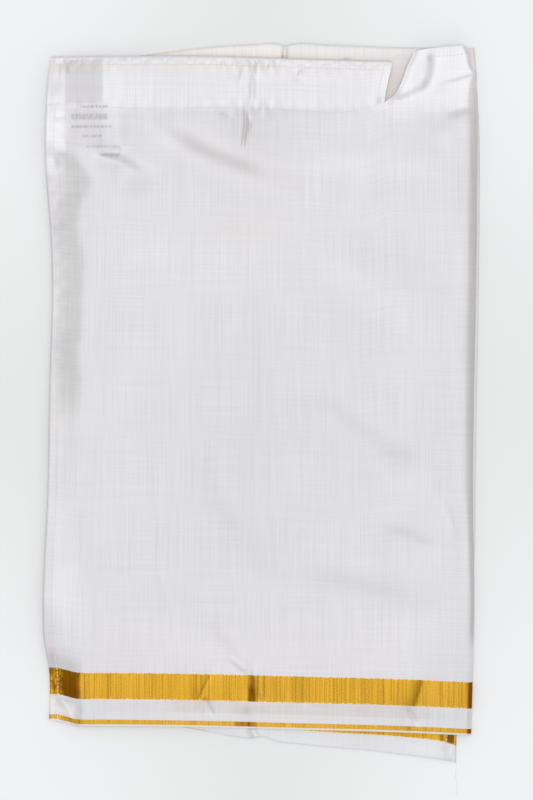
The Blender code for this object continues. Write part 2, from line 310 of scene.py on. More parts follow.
# %% Height of the front layer


def puckers(x, y):
    """Ripples along each seam: a cosine with a wandering phase, fading off the thread."""
    drift = 2.2 * waves(x, 0 * y, 17, 1, 3)
    depth = 0.55 + 0.45 * waves(x, 0 * y, 23, 1, 4)
    gathered = 1 + 2.2 * np.exp(-((x - 6) / 24) ** 2)
    top = np.exp(-((y - casing_edge(x) + 5.2) / 3.4) ** 2) * np.cos(x / 1.25 + drift)
    low = np.exp(-((y - casing_seam(x) - 1.0) / 4.0) ** 2) * np.cos(x / 1.45 - drift)
    hem = np.exp(-((x - front_left(y) - HEM_WIDTH) / 2.6) ** 2)
    hem = hem * np.cos(y / 1.9 + 3 * waves(0 * x, y, 1, 19, 5)) * ease(-60, 120, y)
    across = (top + low) * gathered * depth * (1 - ease(70, 80, x)) * ease(170, 178, y)
    knobs = np.exp(-((y - casing_edge(x) + 2.8) / 1.8) ** 2) * waves(x, y, 1.8, 1.5, 6)
    return 0.10 * across + 0.10 * hem + 0.14 * knobs * (1 - ease(78, 82, x))


def front_height(x, y):
    """The flat, less the drop to the hem, plus the waist's lift, folds and ripples."""
    knee = left_knee(y) + 1.5 * waves(0 * x, y, 1, 16, 31) + 0.8 * waves(0 * x, y, 1, 5, 33)
    fall = soft_clamp((knee - x) / SHOULDER_RUN, 0.06, 0.16)
    waist_lift = 1.8 * ease(60, 200, y) * (1 - 0.5 * ease(-60, 60, x))
    flap_lift = 4.4 * ease(180, 226, y) * ease(62, 118, x)
    height = FRONT_TOP - left_drop(y) * fall + waist_lift + flap_lift
    for points, rise, width, reach in STEPS:
        height = height + step_fold(x, y, points, rise, width, reach)
    for points, rise, width in CREASES:
        height = height + crease(x, y, points, rise, width)
    height = height + 0.22 * waves(x, y, 46, 34, 1) + 0.07 * waves(x, y, 17, 26, 2)
    return height + puckers(x, y)


heights = front_height(*np.meshgrid(np.linspace(-125, 120, 60), np.linspace(-190, 205, 90)))
print("front layer from", round(float(heights.min()), 1), "to",
      round(float(heights.max()), 1), "mm above the ground")

# %% [markdown]
# ## From a grid to cloth
# One helper turns a grid of points into cloth with a thin wall. A solidify modifier could
# add the wall, but worked out here its points keep their order, and the flat map and the
# tints can be laid on both sides at once. The grid and its copy below are shaded smooth,
# the narrow rim between them flat, so that no shade runs in from the edge. The UV map holds
# the place of each point in the flat cloth, in metres, so that the weave follows the cloth
# through its folds. A colour attribute holds what tints the silk from place to place: what
# shows through from below, soiling, and painted light and shade over the cloth, in its
# folds and in the seams.

# %% Grid meshes


def grid_faces(rows, columns):
    """Corner numbers of each cell of a grid with that many points, anticlockwise."""
    first = (np.arange(rows - 1)[:, None] * columns + np.arange(columns - 1)).ravel()
    return np.column_stack([first, first + 1, first + columns + 1, first + columns])


def cloth_wall(x, y, z, wall):
    """A closed thin wall on a grid: the grid, its copy one wall below, and the rim.

    The copy is moved against each point's normal, the cross product of the grid's own two
    directions. The rim joins the two copies along the border, walked anticlockwise.
    """
    grid = np.stack([x, y, z], -1)
    normal = np.cross(np.gradient(grid, axis=1), np.gradient(grid, axis=0))
    normal /= np.linalg.norm(normal, axis=-1)[..., None] + 1e-9
    points = np.vstack([grid.reshape(-1, 3), (grid - normal * wall).reshape(-1, 3)])
    rows, columns = x.shape
    top = grid_faces(rows, columns)
    number = np.arange(rows * columns).reshape(rows, columns)
    border = np.concatenate([number[0, :-1], number[:-1, -1], number[-1, :0:-1],
                             number[:0:-1, 0]])
    ahead = np.roll(border, -1)
    below = rows * columns
    rim = np.column_stack([border, border + below, ahead + below, ahead])
    return points, np.vstack([top, top[:, ::-1] + below, rim])


def make_mesh(name, points, faces, material):
    """A smooth-shaded mesh object from points in millimetres and their faces."""
    mesh = bpy.data.meshes.new(name)
    mesh.from_pydata((points * MM).tolist(), [], faces.tolist())
    mesh.shade_smooth()
    mesh.materials.append(material)
    piece = bpy.data.objects.new(name, mesh)
    bpy.context.scene.collection.objects.link(piece)
    return piece


def make_sheet(name, x, y, z, across, up, material, tint=None, wall=SILK_WALL):
    """Cloth through the points of a grid; across and up are its places when flat."""
    points, faces = cloth_wall(x, y, z, wall)
    piece = make_mesh(name, points, faces, material)
    piece.data.set_sharp_from_angle(angle=math.radians(55))
    flat = np.tile(np.column_stack([across.ravel(), up.ravel()]) * MM, (2, 1))
    uv = piece.data.uv_layers.new(name="flat_cloth")
    uv.data.foreach_set("uv", flat[faces.ravel()].ravel())
    colours = np.ones((len(points), 4))
    if tint is not None:
        colours[:, :3] = np.tile(tint(x.ravel(), y.ravel()), (2, 1))
    layer = piece.data.color_attributes.new("tint", "FLOAT_COLOR", "POINT")
    layer.data.foreach_set("color", colours.ravel())
    return piece


def settle(piece, slot, *nodes):
    """The piece rides with the body and stands for its solids, which it hides; slot is not used.
    """
    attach(piece, "root")
    if nodes:
        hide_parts(*nodes)
    return piece


print("a grid of 3 by 3 points has", len(grid_faces(3, 3)), "cells")

# %% [markdown]
# ## Silk
# Handloom silk is plain woven from uneven yarn. Thick places, called slubs, show as fine
# broken lines along both directions, more along the length. Four noises stretched hard along
# one direction of the flat cloth give them: a fine and a broad one for each direction. An
# image of cloth could do the same, but noise never repeats and stays sharp close up. They
# tint the cloth slightly and raise it a little, and the shader's own gloss gives the sheen
# that makes flat stretches lighter than slopes. A material is a graph of nodes, so a small
# class comes first, which makes the nodes and joins them in one short call each.

# %% Shader helpers


class Graph:
    """A material's node tree with short calls for the nodes used here."""

    def __init__(self, name):
        """A new material with its one shader, ready to be joined to."""
        self.material = bpy.data.materials.new(name)
        self.material.use_nodes = True
        self.tree = self.material.node_tree
        self.shader = self.tree.nodes["Principled BSDF"]

    def node(self, kind, **settings):
        """A new node of that kind with its settings."""
        made = self.tree.nodes.new(kind)
        for key, value in settings.items():
            setattr(made, key, value)
        return made

    def put(self, socket, value):
        """Joins value to the socket where it is another socket, else sets it as a constant."""
        if isinstance(value, bpy.types.NodeSocket):
            self.tree.links.new(value, socket)
        else:
            socket.default_value = value

    def math(self, operation, a, b=0.0, c=0.0):
        """One sum on up to three numbers or sockets."""
        made = self.node("ShaderNodeMath", operation=operation)
        for socket, value in zip(made.inputs, (a, b, c)):
            self.put(socket, value)
        return made.outputs[0]

    def mix(self, factor, a, b, blend="MIX"):
        """Colour a blended with colour b, by the factor."""
        made = self.node("ShaderNodeMix", data_type="RGBA", blend_type=blend)
        self.put(made.inputs["Factor"], factor)
        self.put(made.inputs["A"], a)
        self.put(made.inputs["B"], b)
        return made.outputs["Result"]

    def span(self, value, low, high, to_low=0.0, to_high=1.0):
        """Carries value from low..high to to_low..to_high, eased and clamped."""
        made = self.node("ShaderNodeMapRange", interpolation_type="SMOOTHSTEP")
        for key, number in (("Value", value), ("From Min", low), ("From Max", high),
                            ("To Min", to_low), ("To Max", to_high)):
            self.put(made.inputs[key], number)
        return made.outputs["Result"]

    def flat_cloth(self):
        """Place in the flat cloth: across and up, in millimetres."""
        uv = self.node("ShaderNodeUVMap", uv_map="flat_cloth")
        scaled = self.node("ShaderNodeVectorMath", operation="SCALE")
        self.put(scaled.inputs[0], uv.outputs["UV"])
        scaled.inputs["Scale"].default_value = 1 / MM
        return scaled.outputs[0]

    def noise(self, place, across, up, detail=1.0, shift=0.0):
        """Noise whose cells are across by up millimetres."""
        mapping = self.node("ShaderNodeMapping")
        self.put(mapping.inputs["Vector"], place)
        mapping.inputs["Scale"].default_value = (1 / across, 1 / up, 1)
        mapping.inputs["Location"].default_value = (shift, shift * 0.7, shift)
        made = self.node("ShaderNodeTexNoise")
        self.put(made.inputs["Vector"], mapping.outputs[0])
        made.inputs["Scale"].default_value = 1.0
        made.inputs["Detail"].default_value = detail
        return made.outputs["Fac"]

    def total(self, *terms):
        """Sum of weight * (noise - 0.5) over (noise, weight) pairs."""
        result = 0.0
        for noise, weight in terms:
            centred = self.math("SUBTRACT", noise, 0.5)
            result = self.math("MULTIPLY_ADD", centred, weight, result)
        return result

    def grey(self, value):
        """A colour whose three channels are all the value."""
        made = self.node("ShaderNodeCombineColor")
        for socket in made.inputs:
            self.put(socket, value)
        return made.outputs[0]

    def axes(self, place):
        """The three coordinates of a place."""
        made = self.node("ShaderNodeSeparateXYZ")
        self.put(made.inputs[0], place)
        return made.outputs

    def bump(self, height, distance, strength=1.0):
        """Raises the surface by up to distance millimetres where height is 1."""
        made = self.node("ShaderNodeBump")
        made.inputs["Distance"].default_value = distance * MM
        made.inputs["Strength"].default_value = strength
        self.put(made.inputs["Height"], height)
        self.put(self.shader.inputs["Normal"], made.outputs[0])


print("the shader helpers are ready")

# %% Slubbed silk
SILK_COLOUR = (0.515, 0.502, 0.524, 1)


def silk_parts(graph, place, contrast=1.0):
    """Colour and height of slubbed plain weave.

    The tone is the sum of a fine and a broad noise along each direction and a faint cloud.
    The silk's colour is multiplied by 1 + tone and by the tint attribute.
    """
    warp = graph.noise(place, 0.75, 45, 1.0)
    warp_broad = graph.noise(place, 3.4, 140, 2.0, 7.0)
    weft = graph.noise(place, 50, 0.8, 1.0, 13.0)
    weft_broad = graph.noise(place, 120, 5.5, 2.0, 19.0)
    cloud = graph.noise(place, 60, 45, 2.0, 29.0)
    tone = graph.total((warp, 0.26 * contrast), (warp_broad, 0.09 * contrast),
                       (weft, 0.16 * contrast), (weft_broad, 0.05 * contrast), (cloud, 0.06))
    tint = graph.node("ShaderNodeVertexColor", layer_name="tint")
    woven = graph.mix(1.0, SILK_COLOUR, graph.grey(graph.math("ADD", 1.0, tone)), "MULTIPLY")
    colour = graph.mix(1.0, woven, tint.outputs["Color"], "MULTIPLY")
    height = graph.total((warp, 0.6), (weft, 0.5), (warp_broad, 0.4), (weft_broad, 0.3))
    return colour, height


print("silk colour", SILK_COLOUR[:3])

# %% [markdown]
# ## Gold thread
# Zari is silk wound with gilt metal. In the border it floats over the cloth in close upright
# cords, so a band of it is metal, not cloth: metallic, with the silk's soft gloss. Uneven
# cords give the same stretched noise as the slubs, but it is strong here and runs only up
# the cloth, and the places where the thread turns back show as light dots on the edges.
# Every cord could be a mesh of its own, but there are hundreds, and each is finer than the
# silk's waves, so they stay in the material.

# %% Gold thread
GOLD_COLOUR = (0.335, 0.188, 0.017, 1)
GOLD_DEEP = (0.150, 0.071, 0.003, 1)
GOLD_EDGE = (0.39, 0.26, 0.09, 1)


def zari_parts(graph, place, edges):
    """Gold thread floating over the weft in close uneven cords, lighter dots at its edges.

    The tone is the sum of a fine and a broad noise stretched along the length and a short
    grain; it blends the deep gold into the bright one. The tint attribute shades it.
    """
    cords = graph.noise(place, 0.6, 60, 1.0, 3.0)
    groups = graph.noise(place, 2.2, 120, 2.0, 5.0)
    grain = graph.noise(place, 0.7, 0.7, 1.0, 11.0)
    tone = graph.total((cords, 1.5), (groups, 0.42), (grain, 1.0))
    colour = graph.mix(graph.span(tone, -0.76, 0.40), GOLD_DEEP, GOLD_COLOUR)
    up = graph.axes(place)["Y"]
    rim = 0.0
    for level in edges:
        away = graph.math("ABSOLUTE", graph.math("SUBTRACT", up, level))
        rim = graph.math("ADD", graph.span(away, 0.1, 0.75, 1.0, 0.0), rim)
    dots = graph.span(graph.noise(place, 1.15, 4.0, 0.0, 23.0), 0.44, 0.58)
    colour = graph.mix(graph.math("MULTIPLY", rim, dots), colour, GOLD_EDGE)
    tint = graph.node("ShaderNodeVertexColor", layer_name="tint")
    colour = graph.mix(1.0, colour, tint.outputs["Color"], "MULTIPLY")
    height = graph.total((cords, 1.0), (grain, 0.5), (groups, 0.4))
    return colour, height


print("bright and deep gold", GOLD_COLOUR[:3], GOLD_DEEP[:3])

# %% [markdown]
# ## Bars of the care label
# The label lies behind the front, and its lines of print show through as grey bars. They
# stay plain uneven bars, each a soft box in the plane broken up by a noise, because a label's
# wording is no part of the garment's shape. They are worked out in the material, since they
# are finer than the sheet's grid.

# %% Bars of the care label
PRINT_LINES = [  # left, low, right, high, softness, depth of the label's bars
    (-111.5, 182.7, -95.0, 184.4, 0.5, 0.46), (-117.4, 175.5, -94.9, 179.2, 0.6, 0.34),
    (-117.4, 170.3, -92.2, 171.9, 0.5, 0.38), (-111.2, 164.4, -98.4, 166.0, 0.5, 0.36),
    (-107.8, 158.2, -87.4, 159.4, 0.5, 0.30), (-100.2, 153.0, -88.0, 154.6, 0.8, 0.28),
    (-88.4, 153.8, -86.6, 158.6, 0.6, 0.28),
]


def print_shade(graph):
    """Darkness of the bars that show through the front: uneven boxes in the plane."""
    place = graph.node("ShaderNodeTexCoord").outputs["Object"]
    scaled = graph.node("ShaderNodeVectorMath", operation="SCALE")
    graph.put(scaled.inputs[0], place)
    scaled.inputs["Scale"].default_value = 1 / MM
    axes = graph.axes(scaled.outputs[0])
    uneven = graph.span(graph.noise(scaled.outputs[0], 1.1, 6.0, 0.0, 2.0), 0.3, 0.6, 0.4, 1.0)
    shade = 0.0
    for left, low, right, high, soft, depth in PRINT_LINES:
        box = depth
        for axis, start, end in (("X", left, right), ("Y", low, high)):
            rise = graph.span(axes[axis], start - soft, start + soft)
            fall = graph.span(axes[axis], end - soft, end + soft, 1.0, 0.0)
            box = graph.math("MULTIPLY", graph.math("MULTIPLY", box, rise), fall)
        shade = graph.math("ADD", box, shade)
    return graph.math("SUBTRACT", 1.0, graph.math("MULTIPLY", shade, uneven))


print("bars on the label:", len(PRINT_LINES))

# %% [markdown]
# ## The finishes
# Three finishes are made from these parts: silk, gold, and the cloth of the turned hems,
# where the woven bands cross the silk. The hems are separate sheets, so their material
# blends silk into gold at the bands' own levels, and colour and metal change together.

# %% Finishes
CLOTH_ROUGHNESS = 0.36


def silk(name, contrast=1.0, printed=False):
    """White silk, with the label's bars showing through where printed."""
    graph = Graph(name)
    colour, height = silk_parts(graph, graph.flat_cloth(), contrast)
    if printed:
        colour = graph.mix(1.0, colour, graph.grey(print_shade(graph)), "MULTIPLY")
    graph.put(graph.shader.inputs["Base Color"], colour)
    graph.shader.inputs["Roughness"].default_value = CLOTH_ROUGHNESS
    graph.shader.inputs["Specular IOR Level"].default_value = 1.0
    graph.shader.inputs["Sheen Weight"].default_value = 0.05
    graph.bump(height, 0.05, 0.5)
    return graph.material


def zari(name, edges):
    """A band of gold thread whose edges lie at these levels of the cloth."""
    graph = Graph(name)
    colour, height = zari_parts(graph, graph.flat_cloth(), edges)
    graph.put(graph.shader.inputs["Base Color"], colour)
    graph.shader.inputs["Roughness"].default_value = CLOTH_ROUGHNESS
    graph.shader.inputs["Metallic"].default_value = 0.88
    graph.shader.inputs["Specular IOR Level"].default_value = 0.15
    graph.bump(height, 0.05, 0.5)
    return graph.material


def hem_cloth(name, bands):
    """Silk with gold where the woven bands cross it; bands are (low, high) levels."""
    graph = Graph(name)
    place = graph.flat_cloth()
    silk_colour, silk_height = silk_parts(graph, place)
    gold_colour = zari_parts(graph, place, [bands[-1][1]])[0]
    up = graph.axes(place)["Y"]
    inside = 0.0
    for low, high in bands:
        band = graph.math("MULTIPLY", graph.span(up, low - 0.15, low + 0.15),
                          graph.span(up, high - 0.15, high + 0.15, 1.0, 0.0))
        inside = graph.math("ADD", band, inside)
    graph.put(graph.shader.inputs["Base Color"], graph.mix(inside, silk_colour, gold_colour))
    graph.put(graph.shader.inputs["Metallic"], graph.math("MULTIPLY", inside, 0.94))
    graph.shader.inputs["Roughness"].default_value = CLOTH_ROUGHNESS
    graph.shader.inputs["Specular IOR Level"].default_value = 0.9
    graph.bump(silk_height, 0.05, 0.5)
    return graph.material


front_silk_finish = silk("front_silk_weave", printed=True)
back_silk_finish = silk("back_silk_weave", 0.8)
band_finish = zari("gold_band_weave", BAND_LEVELS)
line_finish = zari("gold_line_weave", ())
back_band_finish = zari("back_gold_weave", BACK_BAND[:1])
front_hem_finish = hem_cloth("front_hem_weave", [LINE_LEVELS, BAND_LEVELS])
back_hem_finish = hem_cloth("back_hem_weave", [BACK_BAND])
print("silk, zari and hem materials made")

# %% [markdown]
# ## What tints the front
# The silk is sheer enough to show what lies under it. The care label behind the casing
# makes a pale patch, with a darker block of painted shade where the casing covers it, the
# layer below makes the strip between the two gold bands a little pinker, and a faint cream
# stain crosses the middle. Painted light and shade go on top: painted shade in the middle
# and in the folds, painted light along the margins and on the raised corner. Each is a soft
# box, spot or streak in the cloth's plane, multiplied into the colour. They could be painted
# by hand, but as formulas they can be placed and changed by number.

# %% Masks for the tints


def soft_box(x, y, left, low, right, high, soft):
    """1 inside a box, 0 outside, eased over soft millimetres."""
    return (ease(left - soft, left + soft, x) * (1 - ease(right - soft, right + soft, x))
            * ease(low - soft, low + soft, y) * (1 - ease(high - soft, high + soft, y)))


def spot(x, y, cx, cy, wide, tall):
    """exp(-(dx/wide)^2 - (dy/tall)^2): a soft round patch."""
    return np.exp(-((x - cx) / wide) ** 2 - ((y - cy) / tall) ** 2)


def streak(x, y, points, left, right):
    """A soft stroke along a line, its left and right sides fading over their own widths."""
    d, share = near_path(x, y, rounded_path(points))
    ends = ease(0, 0.3, share) * ease(0, 0.3, 1 - share)
    return np.exp(-(d / np.where(d > 0, left, right)) ** 2) * ends


def tinted(x, patches):
    """Product of 1 - amount * mask over all patches, as one colour for each point.

    A patch is a mask and either one amount or one each for red, green and blue. A negative
    amount makes the cloth lighter.
    """
    tint = np.ones((len(x), 3))
    for mask, *amount in patches:
        tint *= 1 - mask[:, None] * np.array(amount)
    return tint


print("a soft box is", float(soft_box(0, 0, -5, -5, 5, 5, 1)), "at its middle")

# %% Tint of the front cloth


def front_tint(x, y):
    """What shows through the front silk, what soils it, and painted light and shade over it."""
    uneven = 0.75 + 0.35 * waves(x, y, 7, 5, 41)
    casing = ease(180, 185, y) * (1 - ease(76, 80, x))
    under = np.clip(1 - casing, 0, 1)
    level = y - front_bottom(x)
    ground = (ease(8.4, 9.6, level) * (1 - ease(17, 18, level)) * (1 - ease(100, 108, x))
              * (0.25 * ease(-108, -96, x) + 0.75 * ease(-62, -52, x)))
    return tinted(x, [
        # painted light and shade over the whole cloth: painted shade in the middle, painted light
        # at the margins, in patches low down and on the raised corner; the casing is brighter
        # where it is doubled
        (np.ones(len(x)), -0.03),
        (spot(x, y, -2, -25, 104, 125), 0.155),
        (casing, -0.19),
        (spot(x, y, 95, -130, 26, 26), -0.03),
        (soft_box(x, y, -112, -174, 92, -138, 14), -0.045, -0.035, -0.045),
        (spot(x, y, -100, -138, 14, 20), -0.04),
        (ease(172, 200, y) * ease(70, 90, x), -0.17, -0.17, -0.165),
        (spot(x, y, 96, 206, 5, 12), 0.09),
        (ease(150, 172, y) * ease(10, 60, x) * (1 - casing), -0.08),
        (soft_box(x, y, -160, 155.6, -121.4, 184, 0.8), -0.22),
        (soft_box(x, y, -160, 141, -126.6, 155.6, 1.4), -0.22),
        (soft_box(x, y, -160, -125, -125.5, -60, 5.0), -0.09, -0.09, -0.06),
        (soft_box(x, y, -160, -60, -125.5, 36, 5.0), -0.09, -0.08, -0.05),
        (spot(x, y, -129, 60, 5, 17), -0.13, -0.13, -0.12),
        (spot(x, y, -123.5, 0, 3, 25), -0.08, -0.08, -0.06),
        (soft_box(x, y, -160, 40, -125.5, 141, 2.0), -0.03, -0.01, 0.01),
        (soft_box(x, y, -127, -160, -112, -100, 5.0), -0.07),
        (spot(x, y, -123.6, 73, 2.6, 1.0), -0.10),
        (spot(x, y, -125.2, 48.6, 1.6, 1.4), -0.10),
        # the label behind the casing
        # painted shade: the label's upper part is darker where the casing covers it
        (soft_box(x, y, -120.9, 185.2, -98, 212.4, 0.9), 0.205),
        (soft_box(x, y, -120.9, 204.5, -98, 213.4, 1.2), -0.04, 0.02, 0.02),
        (soft_box(x, y, -120.9, 185, -98, 196, 1.2), 0.03, 0.05, 0.0),
        (soft_box(x, y, -97.6, 158, -86.2, 213, 0.5) * (0.3 + 0.7 * under), -0.10, -0.10, -0.13),
        (soft_box(x, y, -120.8, 158, -97, 185, 0.7), 0.05, 0.06, 0.02),
        # soiling: a cream stain, specks and marks on the hem; the strip between the gold, where
        # the layer below shows through; painted light on the lower left corner
        (spot(x, y, -8, 107, 27, 9) * uneven, -0.010, 0.020, 0.060),
        (spot(x, y, -18, -39.5, 0.9, 1.4), 0.10),
        (spot(x, y, 23, -82, 0.9, 1.2), 0.09),
        (spot(x, y, -36, 93, 0.9, 1.0), 0.07),
        (ground * uneven, 0.07, 0.155, 0.215),
        ((1 - ease(8.4, 9.4, level)) * ease(4, 5, level) * ease(-100, -90, x),
         -0.03, -0.03, -0.02),
        # painted light: the lower left corner is lighter, against the shade of its slope
        (soft_box(x, y, -140, -200, -114, -180, 3.0) * uneven, -0.34, -0.30, -0.20),
        (spot(x, y, -129.6, -156, 1.8, 5.5), -0.08, 0.21, 0.11),
        (spot(x, y, -126, 209, 3.2, 4.2) * uneven, -0.02, 0.03, 0.17),
        (spot(x, y, -117, 211, 3.0, 2.0), 0.0, 0.05, 0.14),
        (ease(-125, -121, x) * (1 - ease(-115, -106, x)) * ease(-30, 10, y)
         * (1 - ease(150, 156, y)), -0.02, -0.02, 0.02),
        # stitching: the yellowed thread, the bar at the casing's end, the knot on the corner
        (np.exp(-((y - casing_edge(x) + 5.6) / 1.2) ** 2) * casing * uneven, 0.0, 0.03, 0.10),
        (spot(x, y, 73.3, 208, 1.8, 1.8), 0.0, 0.05, 0.20),
        (soft_box(x, y, 71.4, 185.2, 74.6, 189.6, 0.5) * uneven, 0.20, 0.21, 0.20),
        (spot(x, y, 104, 213.2, 1.6, 2.1), 0.25, 0.24, 0.36),
        # painted shade in the folds, and painted light on the lower end of the right fold
        (streak(x, y, [(-100, 188), (-80, 179.5), (-57, 170), (-32, 155), (-6, 145)], 4.5, 5.0),
         0.03, 0.03, 0.02),
        (streak(x, y, [(-57, 168), (-44, 161), (-26, 152), (-11, 146.5), (4, 141)], 6.5, 5.5),
         0.125, 0.165, 0.185),
        (streak(x, y, [(-24, 152), (-6, 147), (6, 142), (17, 136), (29, 129)], 7.5, 7),
         0.10, 0.12, 0.13),
        (streak(x, y, [(-94, 158), (-82, 151), (-71, 143.5), (-62, 140)], 3, 3.5),
         0.06, 0.06, 0.045),
        (streak(x, y, [(-31, 181.8), (-23, 178), (-15.5, 174.8)], 0.6, 0.6), 0.16),
        (streak(x, y, [(-22, -157), (-14, -162.5), (-6, -168)], 1.6, 1.6), 0.04, 0.06, 0.08),
        (streak(x, y, [(-8, 173.5), (4, 176), (18, 181)], 2.5, 2.5), 0.04),
        (streak(x, y, [(29, 88), (60, 60), (103, 30)], 9, 9), 0.022, 0.022, 0.020),
        (streak(x, y, [(30, 8), (52, -8), (67, -18.5), (84, -34), (96, -50)], 5, 6),
         0.035, 0.035, 0.03),
        (spot(x, y, 87, -34, 10, 9) * uneven, 0.14, 0.14, 0.135),
        (streak(x, y, [(68, -74), (80, -78), (96, -82.5), (113, -92)], 3, 4), 0.035, 0.035, 0.03),
        (spot(x, y, 89, -79, 9, 5) * uneven, 0.04, 0.04, 0.035),
        (streak(x, y, [(84, 43), (91, 38.6), (98, 36)], 1.5, 1.5), 0.035, 0.035, 0.03),
        (streak(x, y, [(-13.4, 216), (-13.0, 208), (-13.4, 198)], 0.9, 0.9), 0.07),
        (streak(x, y, [(-5.6, 216), (-4.2, 209), (-3.0, 201)], 0.9, 0.9), 0.07),
        (streak(x, y, [(-7.2, 207), (-6.8, 195), (-7.0, 181)], 1.3, 1.3), 0.08),
        (streak(x, y, [(-9.2, 186), (-8.6, 174), (-10.8, 154)], 2.0, 2.0), 0.05, 0.10, 0.14),
        (spot(x, y, 100.8, 197, 3.4, 3.4), 0.25, 0.25, 0.24),
        (spot(x, y, 104.0, 207, 4.8, 8.0), 0.17, 0.17, 0.16),
        (np.exp(-((x - flap_start(y)) / 1.4) ** 2) * ease(184, 190, y) * ease(72, 78, x),
         0.0, 0.02, 0.04),
        (ease(126.5, 129.5, x) * (1 - ease(198, 206, y)), 0.08, 0.10, 0.12),
        # painted light on the lower end of the right fold
        (ease(128, 130, x) * (1 - ease(-155, -140, y)), -0.35),
    ])


print("tint at the label's block:", front_tint(np.array([-110.0]), np.array([200.0]))[0].round(3))

# %% [markdown]
# ## What tints the gold
# Metal shows a slope much more than cloth does, because it mirrors one direction only, so
# the tints paint it in: over the shoulder at the left painted shade turns the band from bright
# gold to deep brown, the crumpled hem beside it has painted glints in spots, each crease that
# crosses the band is a dark stroke of painted shade, and the thin line there gets painted light.

# %% Tint of the gold


def gold_tint(x, y):
    """Painted shade on the gold: over the shoulder at the left, in its creases, in the middle and
    at the fold; painted glints on the hem and painted light on the thin line at the left.
    """
    mottle = ease(-0.4, 0.4, waves(x, y, 1.1, 1.6, 61))
    shoulder_end = -112.3 + 0.07 * (y + 167)
    thin = 1 - ease(5, 6, y - front_bottom(x))
    wide = 1 - thin
    return tinted(x, [
        # painted glints and shade on the crumpled hem
        ((1 - ease(-123.6, -122.6, x)) * mottle * wide, 0.46, 0.60, 0.85),
        ((1 - ease(-123.6, -122.6, x)) * wide, -0.72, -0.58, 0.55),
        # painted light on the thin line at the left, against the shade of the slope
        (soft_box(x, y, -126.5, -215, -113, -185, 1.5) * thin, -0.90, -0.80, -0.50),
        # painted shade over the shoulder
        (ease(-123.4, -122.4, x) * (1 - ease(-0.4, 0.4, x - shoulder_end)) * wide,
         0.24, 0.48, 0.92),
        (streak(x, y, [(-30, -163), (-32, -168.5), (-38.5, -182), (-41, -188)], 0.6, 3.0) * wide,
         0.22, 0.26, 0.40),
        (soft_box(x, y, -8.2, -186, -3.4, -150, 1.0) * (1 - 0.6 * ease(-180, -170, y)),
         0.64, 0.75, 0.95),
        (soft_box(x, y, -8.2, -202, -3.0, -190, 1.0), 0.38, 0.50, 0.70),
        (soft_box(x, y, -16.5, -202, -7.0, -190, 0.6) * thin, 0.38, 0.50, 0.70),
        (spot(x, y, 1.4, -175, 0.5, 12), 0.08, 0.09, 0.12),
        (spot(x, y, 5.6, -175, 0.5, 12), 0.06, 0.07, 0.10),
        (spot(x, y, 26.2, -180, 0.8, 40), 0.18, 0.20, 0.28),
        (streak(x, y, [(92, -198), (95.7, -186), (99.8, -172.6), (103, -162)], 5.0, 0.4) * wide,
         0.36, 0.44, 0.62),
        (spot(x, y, 91.8, -201, 1.3, 4), 0.34, 0.40, 0.55),
        (ease(126.8, 127.6, x), 0.25, 0.45, 0.70),
        (spot(x, y, 20, -176, 34, 14), 0.10, 0.10, 0.04),
        (ease(100, 104, x) * wide, -0.06, -0.07, -0.25),
        (thin, -0.06, -0.10, -0.50),
    ])


def hem_tint(x, y):
    """The hem takes the gold's shade where the woven bands cross it, else the silk's."""
    level = y - front_bottom(HEM_MIDDLE)
    gold = ((level > LINE_LEVELS[0]) & (level < LINE_LEVELS[1])
            | (level > BAND_LEVELS[0]) & (level < BAND_LEVELS[1]))
    return np.where(gold[:, None], gold_tint(x, y), front_tint(x, y))


print("tint on the shoulder:", gold_tint(np.array([-118.0]), np.array([-175.0]))[0].round(3))

# %% [markdown]
# ## The front layer
# Across, the front runs from its hem over the flat, down over a wide soft shoulder and round
# the fold, and comes back underneath: the fold is half an ellipse, wide and low. Up, it runs
# from the lower edge to the casing seam. The band, the ground and the line are strips of this
# same surface, so their edges meet with no gap. One mesh with several materials would look
# the same, but each strip has a solid of its own to stand for.

# %% A path across the front
ROLL_BOTTOM = 1.3
ROLL_RETURN = 6.0
SEAM_PLACE = -125.7


def hem_seam(y):
    """Where the side hem's stitches run: one hem width in from the left edge."""
    return front_left(y) + HEM_WIDTH


def across_front(share, y, left_edge):
    """A path across the front: 0..1 is the flat, 1..2 the half ellipse, 2..3 the return.

    Gives x and z, the place on the flat, and the length of cloth passed beyond the flat,
    where half an ellipse is pi sqrt((reach^2 + rise^2) / 2) long.
    """
    left, right, reach = left_edge(y), front_right(y), shoulder(y)
    flat_x = left + (right - reach - left) * np.clip(share, 0, 1)
    top = front_height(flat_x, y)
    rise = (top - ROLL_BOTTOM) / 2
    turn = np.clip(share - 1, 0, 1)
    back = np.clip(share - 2, 0, 1) * ROLL_RETURN
    x = flat_x + reach * np.sin(math.pi * turn) - back
    z = np.where(share <= 1, top, ROLL_BOTTOM + rise * (1 + np.cos(math.pi * turn)))
    return x, z, flat_x, math.pi * np.hypot(reach, rise) / math.sqrt(2) * turn + back


print("the fold is", round(float(shoulder(0)), 1), "mm wide at the middle")

# %% Strips of the front


def flat_stations(columns, close_from=0.43, close_to=0.50, closeness=3.0):
    """Stations over 0..1 with some packed closely where the cloth is pleated."""
    fine = np.linspace(0, 1, 2001)
    density = 1 + (closeness - 1) * ease(close_from - 0.02, close_from, fine) * (
        1 - ease(close_to, close_to + 0.02, fine))
    passed = np.concatenate([[0], np.cumsum((density[1:] + density[:-1]) / 2)])
    return np.interp(np.linspace(0, passed[-1], columns), passed, fine)


def share_stations(flat_columns, turn_columns=14, back_columns=3):
    """Stations across the front, closer together round the fold."""
    return np.concatenate([flat_stations(flat_columns)[:-1],
                           np.linspace(1, 2, turn_columns, endpoint=False),
                           np.linspace(2, 3, back_columns + 1)])


